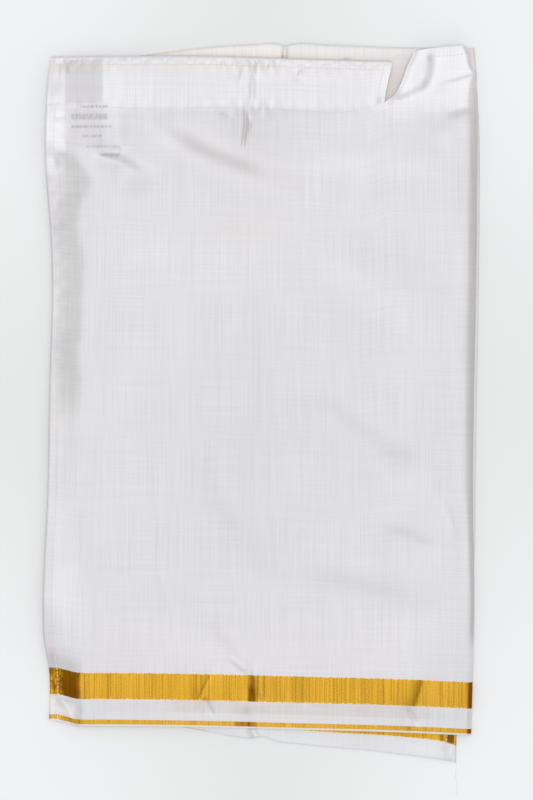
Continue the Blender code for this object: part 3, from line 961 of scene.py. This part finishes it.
def level_y(x, level):
    """Height in the plane of a level of the cloth: border levels are true distances."""
    low, seam = front_bottom(x), casing_seam(x)
    above = low + BAND_LEVELS[1] + (seam - low - BAND_LEVELS[1]) * (
        (level - BAND_LEVELS[1]) / (SEAM_LEVEL - BAND_LEVELS[1]))
    return np.where(level <= BAND_LEVELS[1], low + level, above)


def front_strip(name, levels, flat_columns, material, slot, node, tint=front_tint):
    """A strip of the front between two levels of the cloth, straight-edged when flat."""
    share, level = np.meshgrid(share_stations(flat_columns), levels)
    y = level_y(np.zeros_like(share), level)
    for _ in range(3):
        y = level_y(across_front(share, y, hem_seam)[0], level)
    x, z, flat_x, passed = across_front(share, y, hem_seam)
    from_seam = flat_x - hem_seam(y)
    straighten = (1 - ease(0, 25, from_seam)) * (hem_seam(y) - SEAM_PLACE)
    piece = make_sheet(name, x, y, z, flat_x - straighten + passed, level, material, tint)
    return settle(piece, slot, node)


low_line, high_line = LINE_LEVELS
low_band, high_band = BAND_LEVELS
front_silk = front_strip("front_silk", np.linspace(high_band, SEAM_LEVEL, 232),
                         150, front_silk_finish, "silk", "front_panel")
front_band = front_strip("front_gold_band", np.linspace(low_band, high_band, 20), 300,
                         band_finish, "zari", "front_border_band", gold_tint)
front_ground = front_strip("front_ground", np.linspace(high_line, low_band, 16), 300,
                           front_silk_finish, "silk", "front_border_ground")
front_line = front_strip("front_gold_line", np.linspace(low_line, high_line, 5), 300,
                         line_finish, "zari", "front_border_line", gold_tint)
front_edge = front_strip("front_selvedge_edge", np.linspace(0, low_line, 3), 300,
                         front_silk_finish, "silk", "front_selvedge")
print("front strips made:", len(front_silk.data.polygons), "cells in the largest")

# %% [markdown]
# ## Turned edges
# A hem is a strip of cloth folded under and stitched, and a casing is a wide one. Both are
# the same shape: the cloth runs out to its edge, turns round a small half circle and comes
# back below. Built that way they have a soft round edge and a second layer, as sewn ones do,
# where a single thick strip with bevelled edges would have neither.

# %% Side hem and waist casing of the front


def turned_edge(share, radius):
    """Distance still to go to the edge and depth: out, round a half circle and back."""
    turn = np.clip(share - 1, 0, 1) * math.pi
    run = np.where(share < 1, 1 - share, np.clip(share - 2, 0, 1))
    return run, np.sin(turn) * radius, (1 - np.cos(turn)) * radius


def turned_length(share, run, radius):
    """Length of cloth passed: the way out, the half circle and the way back."""
    out, turn, back = (np.clip(share - k, 0, 1) for k in (0, 1, 2))
    return run * out + math.pi * radius * turn + run * back


def turned_stations(out, turn, back):
    """So many stations on the way out, round the turn and on the way back, ends shared."""
    return np.concatenate([np.linspace(0, 1, out)[:-1], np.linspace(1, 2, turn)[:-1],
                           np.linspace(2, 3, back)])


def make_front_hem():
    """Left hem: across runs from the stitches to the edge and back below."""
    levels = np.linspace(0, SEAM_LEVEL, 300)
    level, share = np.meshgrid(levels, turned_stations(9, 7, 6), indexing="ij")
    y = level_y(np.full_like(share, HEM_MIDDLE), level)
    radius = 0.42
    run, out, deep = turned_edge(share, radius)
    left = front_left(y) + radius
    x = left + (HEM_WIDTH - radius) * run - out
    z = front_height(np.maximum(x, left), y) - deep
    across = SEAM_PLACE - turned_length(share, HEM_WIDTH, radius)
    piece = make_sheet("front_side_hem", x[:, ::-1], y[:, ::-1], z[:, ::-1],
                       across[:, ::-1], level[:, ::-1], front_hem_finish, hem_tint)
    return settle(piece, "silk", "side_hem")


def make_casing():
    """Waist casing: up runs from the seam to the top edge and back down behind it."""
    sides = np.linspace(0, 1, 260)
    share, side = np.meshgrid(turned_stations(34, 7, 12), sides, indexing="ij")
    radius = 0.7
    run, out, deep = turned_edge(share, radius)
    level = 1 - run
    y = 184 + CASING_DEPTH * level
    for _ in range(3):
        left, right = front_left(y), casing_end(y)
        x = left + (right - left) * side
        y = casing_seam(x) + (casing_edge(x) - radius - casing_seam(x)) * level
    z = front_height(x, y) - deep - 0.15 * ease(2, 2.3, share)
    up = SEAM_LEVEL + turned_length(share, CASING_DEPTH, radius)
    piece = make_sheet("waist_casing_cloth", x, y + out, z, x, up, front_silk_finish, front_tint)
    return settle(piece, "silk", "waist_casing")


def make_flap():
    """The corner past the casing: from its slit over the fold, up to the waist edge."""
    share, level = np.meshgrid(share_stations(46), np.linspace(0, 1, 44))
    y = 187 + FLAP_LENGTH * level
    for _ in range(4):
        x = across_front(share, y, flap_start)[0]
        y = casing_seam(x) + (flap_edge(x) - casing_seam(x)) * level
    x, z, flat_x, passed = across_front(share, y, flap_start)
    z = z - 0.5 * np.exp(-((x - flap_start(y)) / 2.2) ** 2) * ease(187, 196, y)
    piece = make_sheet("waist_corner_flap", x, y, z, flat_x + passed,
                       SEAM_LEVEL + FLAP_LENGTH * level, front_silk_finish, front_tint)
    return settle(piece, "silk", "corner_flap")


front_hem = make_front_hem()
casing = make_casing()
flap = make_flap()
print("hem, casing and corner made")

# %% [markdown]
# ## The layers below
# The back layer lies on the ground, turned about six degrees at its hem, with its own band,
# hem and casing. Only a strip above the waist and a wedge below the hem show, so it has low
# waves instead of placed folds, and tints: painted light where it stands free, and painted
# shade where the front's edges shade it.

# %% Height and tint of the back layer
BACK_HEM = 6.5
BACK_LEFT = -112.0
BACK_SEAM_LEVEL = 400.0
BACK_SEAM_PLACE = 114.5
band_start = smooth_line([(-121, 9.2), (46, 9.5), (72, 10.6), (88, 11.1), (104, 11.6),
                          (113, 11.5), (121, 10.2)])


def back_height(x, y):
    """Close to the ground, with low waves, and lifted a little along both free edges."""
    hem = np.exp(-((y - back_bottom(x)) / 9) ** 2) * ease(-70, -20, x)
    waist = ease(196, 222, y) * ease(-121, -60, x)
    lift = hem * (0.5 + 0.5 * waves(x, 0 * y, 22, 1, 12)) + 0.7 * waist
    folds = crease(x, y, [(-7, -200), (-4, -206), (-2, -211)], 0.55, 2.4)
    folds = folds + crease(x, y, [(14.6, 212), (14.8, 218), (15, 224)], 0.7, 1.2)
    folds = folds + 0.15 * waves(x, y, 2.2, 2.8, 21) * soft_box(x, y, 112, -226, 124, -210, 1.5)
    return 0.55 + 0.2 * (1 + waves(x, y, 40, 30, 11)) / 2 + lift + folds


def back_level_of(x, y):
    """Level in the cloth as woven: the lower edge is turned under by an uneven amount."""
    return y - back_bottom(x) + BACK_BAND[0] - band_start(x)


def back_tint(x, y):
    """Painted light where the strip stands free and low down; painted shade, warm, beside the
    front's edges and along the lower edge; and knots.
    """
    strip = ease(190, 200, y)
    above = y - casing_edge(x)
    low = y - back_bottom(x)
    return tinted(x, [
        # painted light on the strip above the front's casing
        (strip, -0.28, -0.27, -0.22),
        (strip * (1 - ease(8, 18, x)), -0.07, -0.04, -0.03),
        (strip * ease(8, 18, x), 0.02, 0.02, 0.03),
        # painted shade, warm, beside the front's casing edge
        (strip * np.exp(-(above / 2.6) ** 2) * (1 - ease(95, 105, x)), 0.13, 0.19, 0.30),
        (strip * np.exp(-(above / 0.8) ** 2) * (1 - ease(80, 90, x)), 0.14, 0.22, 0.35),
        (spot(x, y, 13.5, 214.9, 1.8, 1.0), 0.35, 0.45, 0.65),
        (spot(x, y, 53.0, 213.5, 2.4, 0.8), 0.35, 0.45, 0.65),
        # painted shade under the raised corner
        (soft_box(x, y, 124, 200, 142, 224, 1.5), 0.22, 0.25, 0.23),
        # painted light low down and at the right end
        (1 - ease(-190, -180, y), -0.11, -0.12, -0.11),
        (ease(124, 127, x) * ease(-190, -170, y), -0.10, -0.12, -0.06),
        # painted shade along the lower edge
        ((1 - ease(0.3, 1.0, low)) * ease(-36, -28, x), 0.14, 0.14, 0.13),
        ((1 - ease(0.5, 1.3, low)) * ease(-60, -54, x) * (1 - ease(-36, -30, x)),
         0.10, 0.34, 0.75),
        (soft_box(x, y, 113, -226, 117, -209, 1.2), 0.04, 0.06, 0.09),
    ])


def back_gold_tint(x, y):
    """Shade on the back's gold, deepest in its hem."""
    return tinted(x, [
        (soft_box(x, y, 111.2, -240, 113.9, -150, 0.4), 0.42, 0.50, 0.8),
        (soft_box(x, y, 115.0, -240, 119.8, -150, 0.3), 0.72, 0.80, 0.97),
        (1 - ease(100, 108, x), 0.10, 0.12, 0.2),
    ])


def back_hem_tint(x, y):
    """Gold shade where the band crosses the back's hem, else the silk's tint."""
    level = back_level_of(x, y)
    gold = (level > BACK_BAND[0]) & (level < BACK_BAND[1])
    return np.where(gold[:, None], back_gold_tint(x, y), back_tint(x, y))


middle = back_height(np.array([0.0]), np.array([0.0]))[0]
print("back layer", round(float(middle), 2), "mm above the ground at its middle")

# %% [markdown]
# ## Strips of the back
# The back's border is woven like the front's, but its lower edge is turned under by an uneven
# amount. So each strip runs between two edges that are functions of the place across, and
# its level in the woven cloth is counted from the band, not from the edge.

# %% Strips of the back layer


def back_strip(name, low, high, columns, rows, material, slot, node, tint=back_tint):
    """A strip of the back between two edges, given as functions of x."""
    side, level = np.meshgrid(np.linspace(0, 1, columns), np.linspace(0, 1, rows))
    y = -206 + 426 * level
    for _ in range(3):
        x = BACK_LEFT + (back_right(y) - BACK_HEM - BACK_LEFT) * side
        y = low(x) + (high(x) - low(x)) * level
    piece = make_sheet(name, x, y, back_height(x, y), x, back_level_of(x, y), material, tint)
    return settle(piece, slot, node)


def back_edge(x):
    """Lower edge of the ground, just above the turned edge."""
    return back_bottom(x) + 0.3


def back_band_low(x):
    """Lower edge of the back's band."""
    return back_bottom(x) + band_start(x)


def back_band_high(x):
    """Upper edge of the back's band, one band width higher."""
    return back_band_low(x) + BACK_BAND[1] - BACK_BAND[0]


def back_seam(x):
    """Seam of the back's casing, one casing depth below its top."""
    return back_top(x) - CASING_DEPTH


back_ground = back_strip("back_ground", back_edge, back_band_low, 240, 24,
                         back_silk_finish, "silk", "back_border_ground")
back_band = back_strip("back_gold_band", back_band_low, back_band_high, 240, 16,
                       back_band_finish, "zari", "back_border_band", back_gold_tint)
back_silk = back_strip("back_silk", back_band_high, back_seam, 110, 160,
                       back_silk_finish, "silk", "back_panel")
print("strips of the back made")

# %% Casing and hem of the back layer
BACK_TURN = 0.3
BACK_HEM_TURN = 0.26
BACK_WALL = 0.2


def make_back_casing():
    """The back's casing, turned down behind itself like the front's."""
    share, side = np.meshgrid(turned_stations(24, 7, 6), np.linspace(0, 1, 240),
                              indexing="ij")
    run, out, deep = turned_edge(share, BACK_TURN)
    depth = CASING_DEPTH * run + BACK_TURN
    y = 222 - depth
    for _ in range(3):
        x = BACK_LEFT + (back_right(y) - BACK_HEM - BACK_LEFT) * side
        y = back_top(x) - depth
    z = back_height(x, y) + 0.35 - deep
    up = BACK_SEAM_LEVEL + turned_length(share, CASING_DEPTH, BACK_TURN)
    piece = make_sheet("back_casing", x, y + out, z, x, up, back_silk_finish, back_tint,
                       BACK_WALL)
    return settle(piece, "silk", "back_waist_casing")


def make_back_hem():
    """The back's end hem down its right side, turned under."""
    share, level = np.meshgrid(turned_stations(9, 7, 6), np.linspace(0, 1, 260))
    run, out, deep = turned_edge(share, BACK_HEM_TURN)
    low, high = float(back_bottom(121)), float(back_top(134))
    y = low + (high - low) * level
    inner = back_right(y) - BACK_HEM_TURN
    x = inner - (BACK_HEM - BACK_HEM_TURN) * run + out
    y = y + (back_bottom(np.minimum(x, 121)) - low) * (1 - level)
    z = back_height(np.minimum(x, inner), y) + 0.1 - deep
    across = BACK_SEAM_PLACE + turned_length(share, BACK_HEM, BACK_HEM_TURN)
    piece = make_sheet("back_side_hem_cloth", x, y, z, across, back_level_of(x, y),
                       back_hem_finish, back_hem_tint, BACK_WALL)
    return settle(piece, "silk", "back_side_hem")


back_casing = make_back_casing()
back_hem = make_back_hem()
print("casing and hem of the back made")

# %% [markdown]
# ## The inner layer
# Between front and back runs the middle of the cloth: it starts where the front's fold comes
# back, crosses to the left and turns down to join the back. Only slivers of it show, at the
# lower edge and in the gap beside the casing, so one smooth sheet is enough.

# %% Inner layer
INNER_TOP = 2.85
INNER_TURN = 1.05
INNER_RETURN = 6.0


def inner_tint(x, y):
    """Warm in the gap beside the casing, where the light comes through the cloth."""
    return tinted(x, [
        (soft_box(x, y, 70, 180, 98, 222, 3.0), -0.12, -0.05, 0.02),
        (soft_box(x, y, 70, 180, 98, 222, 3.0) * ease(196, 214, y), -0.12, -0.14, -0.17),
    ])


def make_inner():
    """The hidden layer: from the front's fold to the left, round and back a little."""
    share, level = np.meshgrid(turned_stations(90, 9, 4), np.linspace(0, 1, 130))
    start, end = 124.0, -117.5
    flat_x = start + (end - start) * np.clip(share, 0, 1)
    turn = np.clip(share - 1, 0, 1) * math.pi
    x = flat_x - np.sin(turn) * INNER_TURN + np.clip(share - 2, 0, 1) * INNER_RETURN
    low = front_bottom(x) + 1.2 + 0.02 * (x + 118)
    high = casing_edge(x) - 4 + 9.0 * ease(72, 87, x) - 4.5 * ease(97, 112, x)
    y = low + (high - low) * level
    z = np.where(share <= 1, INNER_TOP - 1.3 * ease(60, 118, flat_x),
                 INNER_TOP - INNER_TURN * (1 - np.cos(turn)))
    passed = start - flat_x + math.pi * INNER_TURN * np.clip(share - 1, 0, 1)
    passed = passed + INNER_RETURN * np.clip(share - 2, 0, 1)
    piece = make_sheet("inner_layer", x[:, ::-1], y[:, ::-1], z[:, ::-1],
                       -passed[:, ::-1], (y + 200)[:, ::-1], back_silk_finish, inner_tint)
    return settle(piece, "silk", "folded_layers")


inner = make_inner()
print("inner layer made")

# %% [markdown]
# ## Care label
# A ribbon of satin sewn into the casing seam, under the front. Its face shows only faintly
# through the silk, so its lines of print are left as plain bars with no lettering.

# %% Care label
LABEL = (-120.0, 158.0, -86.0, 209.0)
LABEL_DEPTH = 1.75


def label_satin():
    """Satin ribbon: fine ribs along its length, with a soft gloss."""
    graph = Graph("label_satin_finish")
    place = graph.flat_cloth()
    rib = graph.noise(place, 0.3, 8, 1.0)
    tone = graph.total((rib, 0.1))
    colour = graph.mix(graph.math("ADD", 0.5, tone), (0.74, 0.73, 0.78, 1), (0.80, 0.79, 0.84, 1))
    graph.put(graph.shader.inputs["Base Color"], colour)
    graph.shader.inputs["Roughness"].default_value = 0.35
    graph.bump(rib, 0.03, 0.4)
    return graph.material


def make_label():
    """A plain ribbon that follows the front, a little below it."""
    left, low, right, high = LABEL
    x, y = np.meshgrid(np.linspace(left, right, 36), np.linspace(low, high, 52))
    z = front_height(x, y) - LABEL_DEPTH
    piece = make_sheet("care_label_ribbon", x, y, z, x, y, label_satin(), wall=0.15)
    return settle(piece, "label_satin", "care_label")


label = make_label()
print("label", LABEL[2] - LABEL[0], "by", LABEL[3] - LABEL[1], "mm")

# %% [markdown]
# ## Stitches
# A lockstitch shows as a row of short raised threads. One stitch is a small closed capsule
# bent down at both ends; each row lays copies of it along a path on the cloth, as one mesh.
# A real seam is never quite even, so each stitch is a little off its line and its length.
# A bump in the silk would be cheaper, but raised threads catch the light and cast a shadow.

# %% One row of stitches
STITCH_PITCH = 2.3


def stitch_shapes(x, y, height, length=1.8, width=0.5, seed=1):
    """Points and faces of capsules along a path: rings of six points, closed at each end."""
    path = np.column_stack([x, y, height(x, y)])
    legs = np.linalg.norm(np.diff(path, axis=0), axis=1)
    passed = np.concatenate([[0], np.cumsum(legs)])
    count = int(passed[-1] / STITCH_PITCH)
    middle = (np.arange(count) + 0.5) * STITCH_PITCH
    at = np.column_stack([np.interp(middle, passed, path[:, k]) for k in range(3)])
    ahead = np.column_stack([np.interp(middle + 0.6, passed, path[:, k]) for k in range(3)])
    tangent = ahead - at
    tangent /= np.linalg.norm(tangent, axis=1)[:, None]
    sideways = np.cross([0, 0, 1], tangent)
    sideways /= np.linalg.norm(sideways, axis=1)[:, None]
    normal = np.cross(tangent, sideways)
    jitter = np.random.default_rng(seed).normal(0, 1, (count, 2))
    at = at + sideways * (jitter[:, :1] * 0.06) + normal * 0.06
    stations = np.linspace(-1, 1, 7)
    ring = np.linspace(0, 2 * math.pi, 6, endpoint=False)
    s, angle = [g.ravel() for g in np.meshgrid(stations, ring, indexing="ij")]
    thick = width / 2 * np.sqrt(np.clip(1.04 - s ** 2, 0, 1))
    shape = np.column_stack([s * length / 2, thick * np.cos(angle),
                             thick * np.sin(angle) - 0.16 * s ** 4])
    scale = 1 + 0.08 * jitter[:, 1]
    points = (at[:, None] + tangent[:, None] * (shape[:, 0] * scale[:, None])[..., None]
              + sideways[:, None] * shape[None, :, 1:2] + normal[:, None] * shape[None, :, 2:3])
    rings = len(stations)
    i, j = np.meshgrid(np.arange(rings - 1), np.arange(6), indexing="ij")
    quads = np.stack([i * 6 + j, i * 6 + (j + 1) % 6,
                      (i + 1) * 6 + (j + 1) % 6, (i + 1) * 6 + j], -1).reshape(-1, 4)
    start = [[0, 5, 4, 3], [0, 3, 2, 1]]
    base = (rings - 1) * 6
    end = [[base, base + 1, base + 2, base + 3], [base, base + 3, base + 4, base + 5]]
    cell = np.vstack([quads, start, end])
    faces = (cell[None] + (np.arange(count) * rings * 6)[:, None, None]).reshape(-1, 4)
    return points.reshape(-1, 3), faces


def stitch_row(name, x, y, height, material, seed):
    """A row of stitches as one object."""
    return make_mesh(name, *stitch_shapes(x, y, height, seed=seed), material)


print("a seam 200 mm long has about", int(200 / STITCH_PITCH), "stitches")

# %% [markdown]
# ## Threads
# The sewing thread is matt, twisted from fine strands. It has yellowed along the waist, so
# there are two colours of it. One loose end hangs out of the back's hem past the lower
# corner. A curve with a round bevel could make it; rings of points join the row's mesh.

# %% Threads


def thread_end(path, radius):
    """A loose thread along a path: rings of six points in its upright cross planes."""
    path = rounded_path(path)
    ring = np.linspace(0, 2 * math.pi, 6, endpoint=False)
    around = np.column_stack([np.cos(ring), 0 * ring, np.sin(ring)]) * radius
    points = (path[:, None] + around[None]).reshape(-1, 3)
    i, j = np.meshgrid(np.arange(len(path) - 1), np.arange(6), indexing="ij")
    sides = np.stack([i * 6 + j, (i + 1) * 6 + j, (i + 1) * 6 + (j + 1) % 6,
                      i * 6 + (j + 1) % 6], -1).reshape(-1, 4)
    last = (len(path) - 1) * 6
    caps = np.array([[0, 1, 2, 3], [0, 3, 4, 5]])
    return points, np.vstack([sides, caps, caps[:, ::-1] + last])


def thread(name, colour):
    """Twisted sewing thread: a fine spiral of lighter and darker strands."""
    graph = Graph(name)
    place = graph.node("ShaderNodeTexCoord").outputs["Object"]
    strand = graph.noise(place, 0.0003, 0.0003, 1.0)
    dark = tuple(0.82 * c for c in colour[:3]) + (1,)
    graph.put(graph.shader.inputs["Base Color"], graph.mix(strand, dark, colour))
    graph.shader.inputs["Roughness"].default_value = 0.5
    graph.bump(strand, 0.05, 0.4)
    return graph.material


white_thread = thread("white_thread", (0.86, 0.85, 0.86, 1))
cream_thread = thread("cream_thread", (0.86, 0.79, 0.66, 1))
print("thread materials made")

# %% Rows of stitches
xs = np.linspace(-127, 73, 300)
casing_top_stitches = stitch_row("casing_top_stitches", xs, casing_edge(xs) - 5.3,
                                 front_height, cream_thread, seed=2)
casing_low_stitches = stitch_row("casing_seam_stitches", xs, casing_seam(xs) + 1.0,
                                 front_height, white_thread, seed=3)
ys = np.linspace(185, 208.5, 60)
casing_end_stitches = stitch_row("casing_end_stitches", casing_end(ys) - 4.6, ys,
                                 front_height, white_thread, seed=4)
xs = np.linspace(104.5, 126, 60)
flap_stitches = stitch_row("flap_edge_stitches", xs, flap_edge(xs) - 5.4, front_height,
                           white_thread, seed=5)
ys = np.linspace(-198, 184, 400)
hem_stitches = stitch_row("side_hem_stitches", front_left(ys) + HEM_WIDTH - 0.7, ys,
                          front_height, white_thread, seed=6)
ys = np.linspace(-221.5, 214, 400)
row_points, row_faces = stitch_shapes(back_right(ys) - BACK_HEM + 0.6, ys,
                                      lambda x, y: back_height(x, y) + 0.15, seed=7)
end_points, end_faces = thread_end([(115.2, -221.6, 0.9), (119.6, -222.8, 0.8),
                                    (121.4, -224.6, 0.2), (121.0, -231, 0.16),
                                    (121.9, -237, 0.16), (121.3, -243.5, 0.16)], 0.14)
back_hem_stitches = make_mesh("back_hem_stitches", np.vstack([row_points, end_points]),
                              np.vstack([row_faces, end_faces + len(row_points)]), white_thread)
stitches = [casing_top_stitches, casing_low_stitches, casing_end_stitches, flap_stitches,
            hem_stitches, back_hem_stitches]
for row in stitches:
    settle(row, "silk")
print("stitch rows:", len(stitches))

# %% [markdown]
# The size that each sheet was cut to is printed from its flat map.
# Pieces narrower than a centimetre are left out.

# %% Print the size of each sheet


def flat_size(piece):
    """Width and length of the piece's place in the flat cloth, in metres."""
    uv = np.zeros(len(piece.data.loops) * 2)
    piece.data.uv_layers["flat_cloth"].data.foreach_get("uv", uv)
    uv = uv.reshape(-1, 2)
    return uv.max(0) - uv.min(0)


def declare(piece):
    """Prints the sheet's flat size; its true flat area is worked out but not used."""
    width, length = (float(v) for v in flat_size(piece))
    faces = piece.data.polygons
    areas = np.zeros(len(faces))
    faces.foreach_get("area", areas)
    area = float(areas[:len(faces) // 2].sum())
    area = min(max(area, 0.31 * width * length), width * length)
    print(piece.name, "cut", round(width / MM), "by", round(length / MM), "mm")


declare(front_silk)
declare(front_band)
declare(front_ground)
declare(front_hem)
declare(casing)
declare(flap)
declare(label)
declare(inner)
declare(back_silk)
declare(back_ground)
declare(back_band)
declare(back_casing)
declare(back_hem)

# %% [markdown]
# ## Surface and light
# The pack lies on a sheet of matt white card, with a soft shadow round the pack painted into
# the card's colour. A broad softbox straight above lights it: flat silk and flat gold mirror
# the box and look bright, and whatever slopes away mirrors the dimmer room and goes darker,
# which draws the folds together with the painted shade in the tints. A small lamp or a sun
# would draw them with hard shadows instead, and silk would glare.

# %% Surface


def make_surface():
    """A square of card with a soft shadow painted round the pack: darker there than in the
    corners and far away.
    """
    graph = Graph("white_card")
    place = graph.node("ShaderNodeTexCoord").outputs["Object"]
    grain = graph.noise(place, 0.002, 0.002, 3.0)
    mottle = graph.noise(place, 0.12, 0.12, 1.0, 4.0)
    tone = graph.total((grain, 0.01), (mottle, 0.03))
    # painted shadow: the card is darker round the pack than in the corners and far away
    axes = graph.axes(place)
    across, along = (graph.math("ABSOLUTE", axes[axis]) for axis in "XY")
    beyond = graph.math("SUBTRACT", graph.math("ADD", across, along), 0.45)
    beyond = graph.math("MULTIPLY", graph.math("MAXIMUM", beyond, 0.0), 0.08)
    corner = graph.math("MULTIPLY_ADD", across, along, beyond)
    corner = graph.span(corner, 0.0, 0.036)
    card = graph.mix(corner, (0.775, 0.775, 0.775, 1), (0.855, 0.855, 0.86, 1))
    colour = graph.mix(1.0, card, graph.grey(graph.math("ADD", 1.0, tone)), "MULTIPLY")
    graph.put(graph.shader.inputs["Base Color"], colour)
    graph.shader.inputs["Roughness"].default_value = 0.9
    graph.shader.inputs["Specular IOR Level"].default_value = 0.1
    x, y = np.meshgrid([-1600.0, 1600.0], [-1600.0, 1600.0])
    points = np.column_stack([x.ravel(), y.ravel(), np.zeros(4)])
    surface = make_mesh("surface", points, grid_faces(2, 2), graph.material)


make_surface()
print("surface made")

# %% Light


def softbox(name, size, place, power):
    """A square area light that faces the middle of the pack."""
    data = bpy.data.lights.new(name, "AREA")
    data.shape = "RECTANGLE"
    data.size, data.size_y = size
    data.energy = power
    light = bpy.data.objects.new(name, data)
    light.location = place
    down = -light.location.normalized()
    light.rotation_euler = down.to_track_quat("-Z", "Y").to_euler()
    bpy.context.scene.collection.objects.link(light)


softbox("softbox_above", (1.1, 1.2), (0.0, 0.0, 2.3), 24)
world = bpy.data.worlds.new("dim_room")
world.use_nodes = True
world.node_tree.nodes["Background"].inputs["Color"].default_value = (0.98, 0.99, 1.0, 1)
world.node_tree.nodes["Background"].inputs["Strength"].default_value = 0.635
bpy.context.scene.world = world
bpy.context.scene.view_settings.view_transform = "Standard"
print("light made")
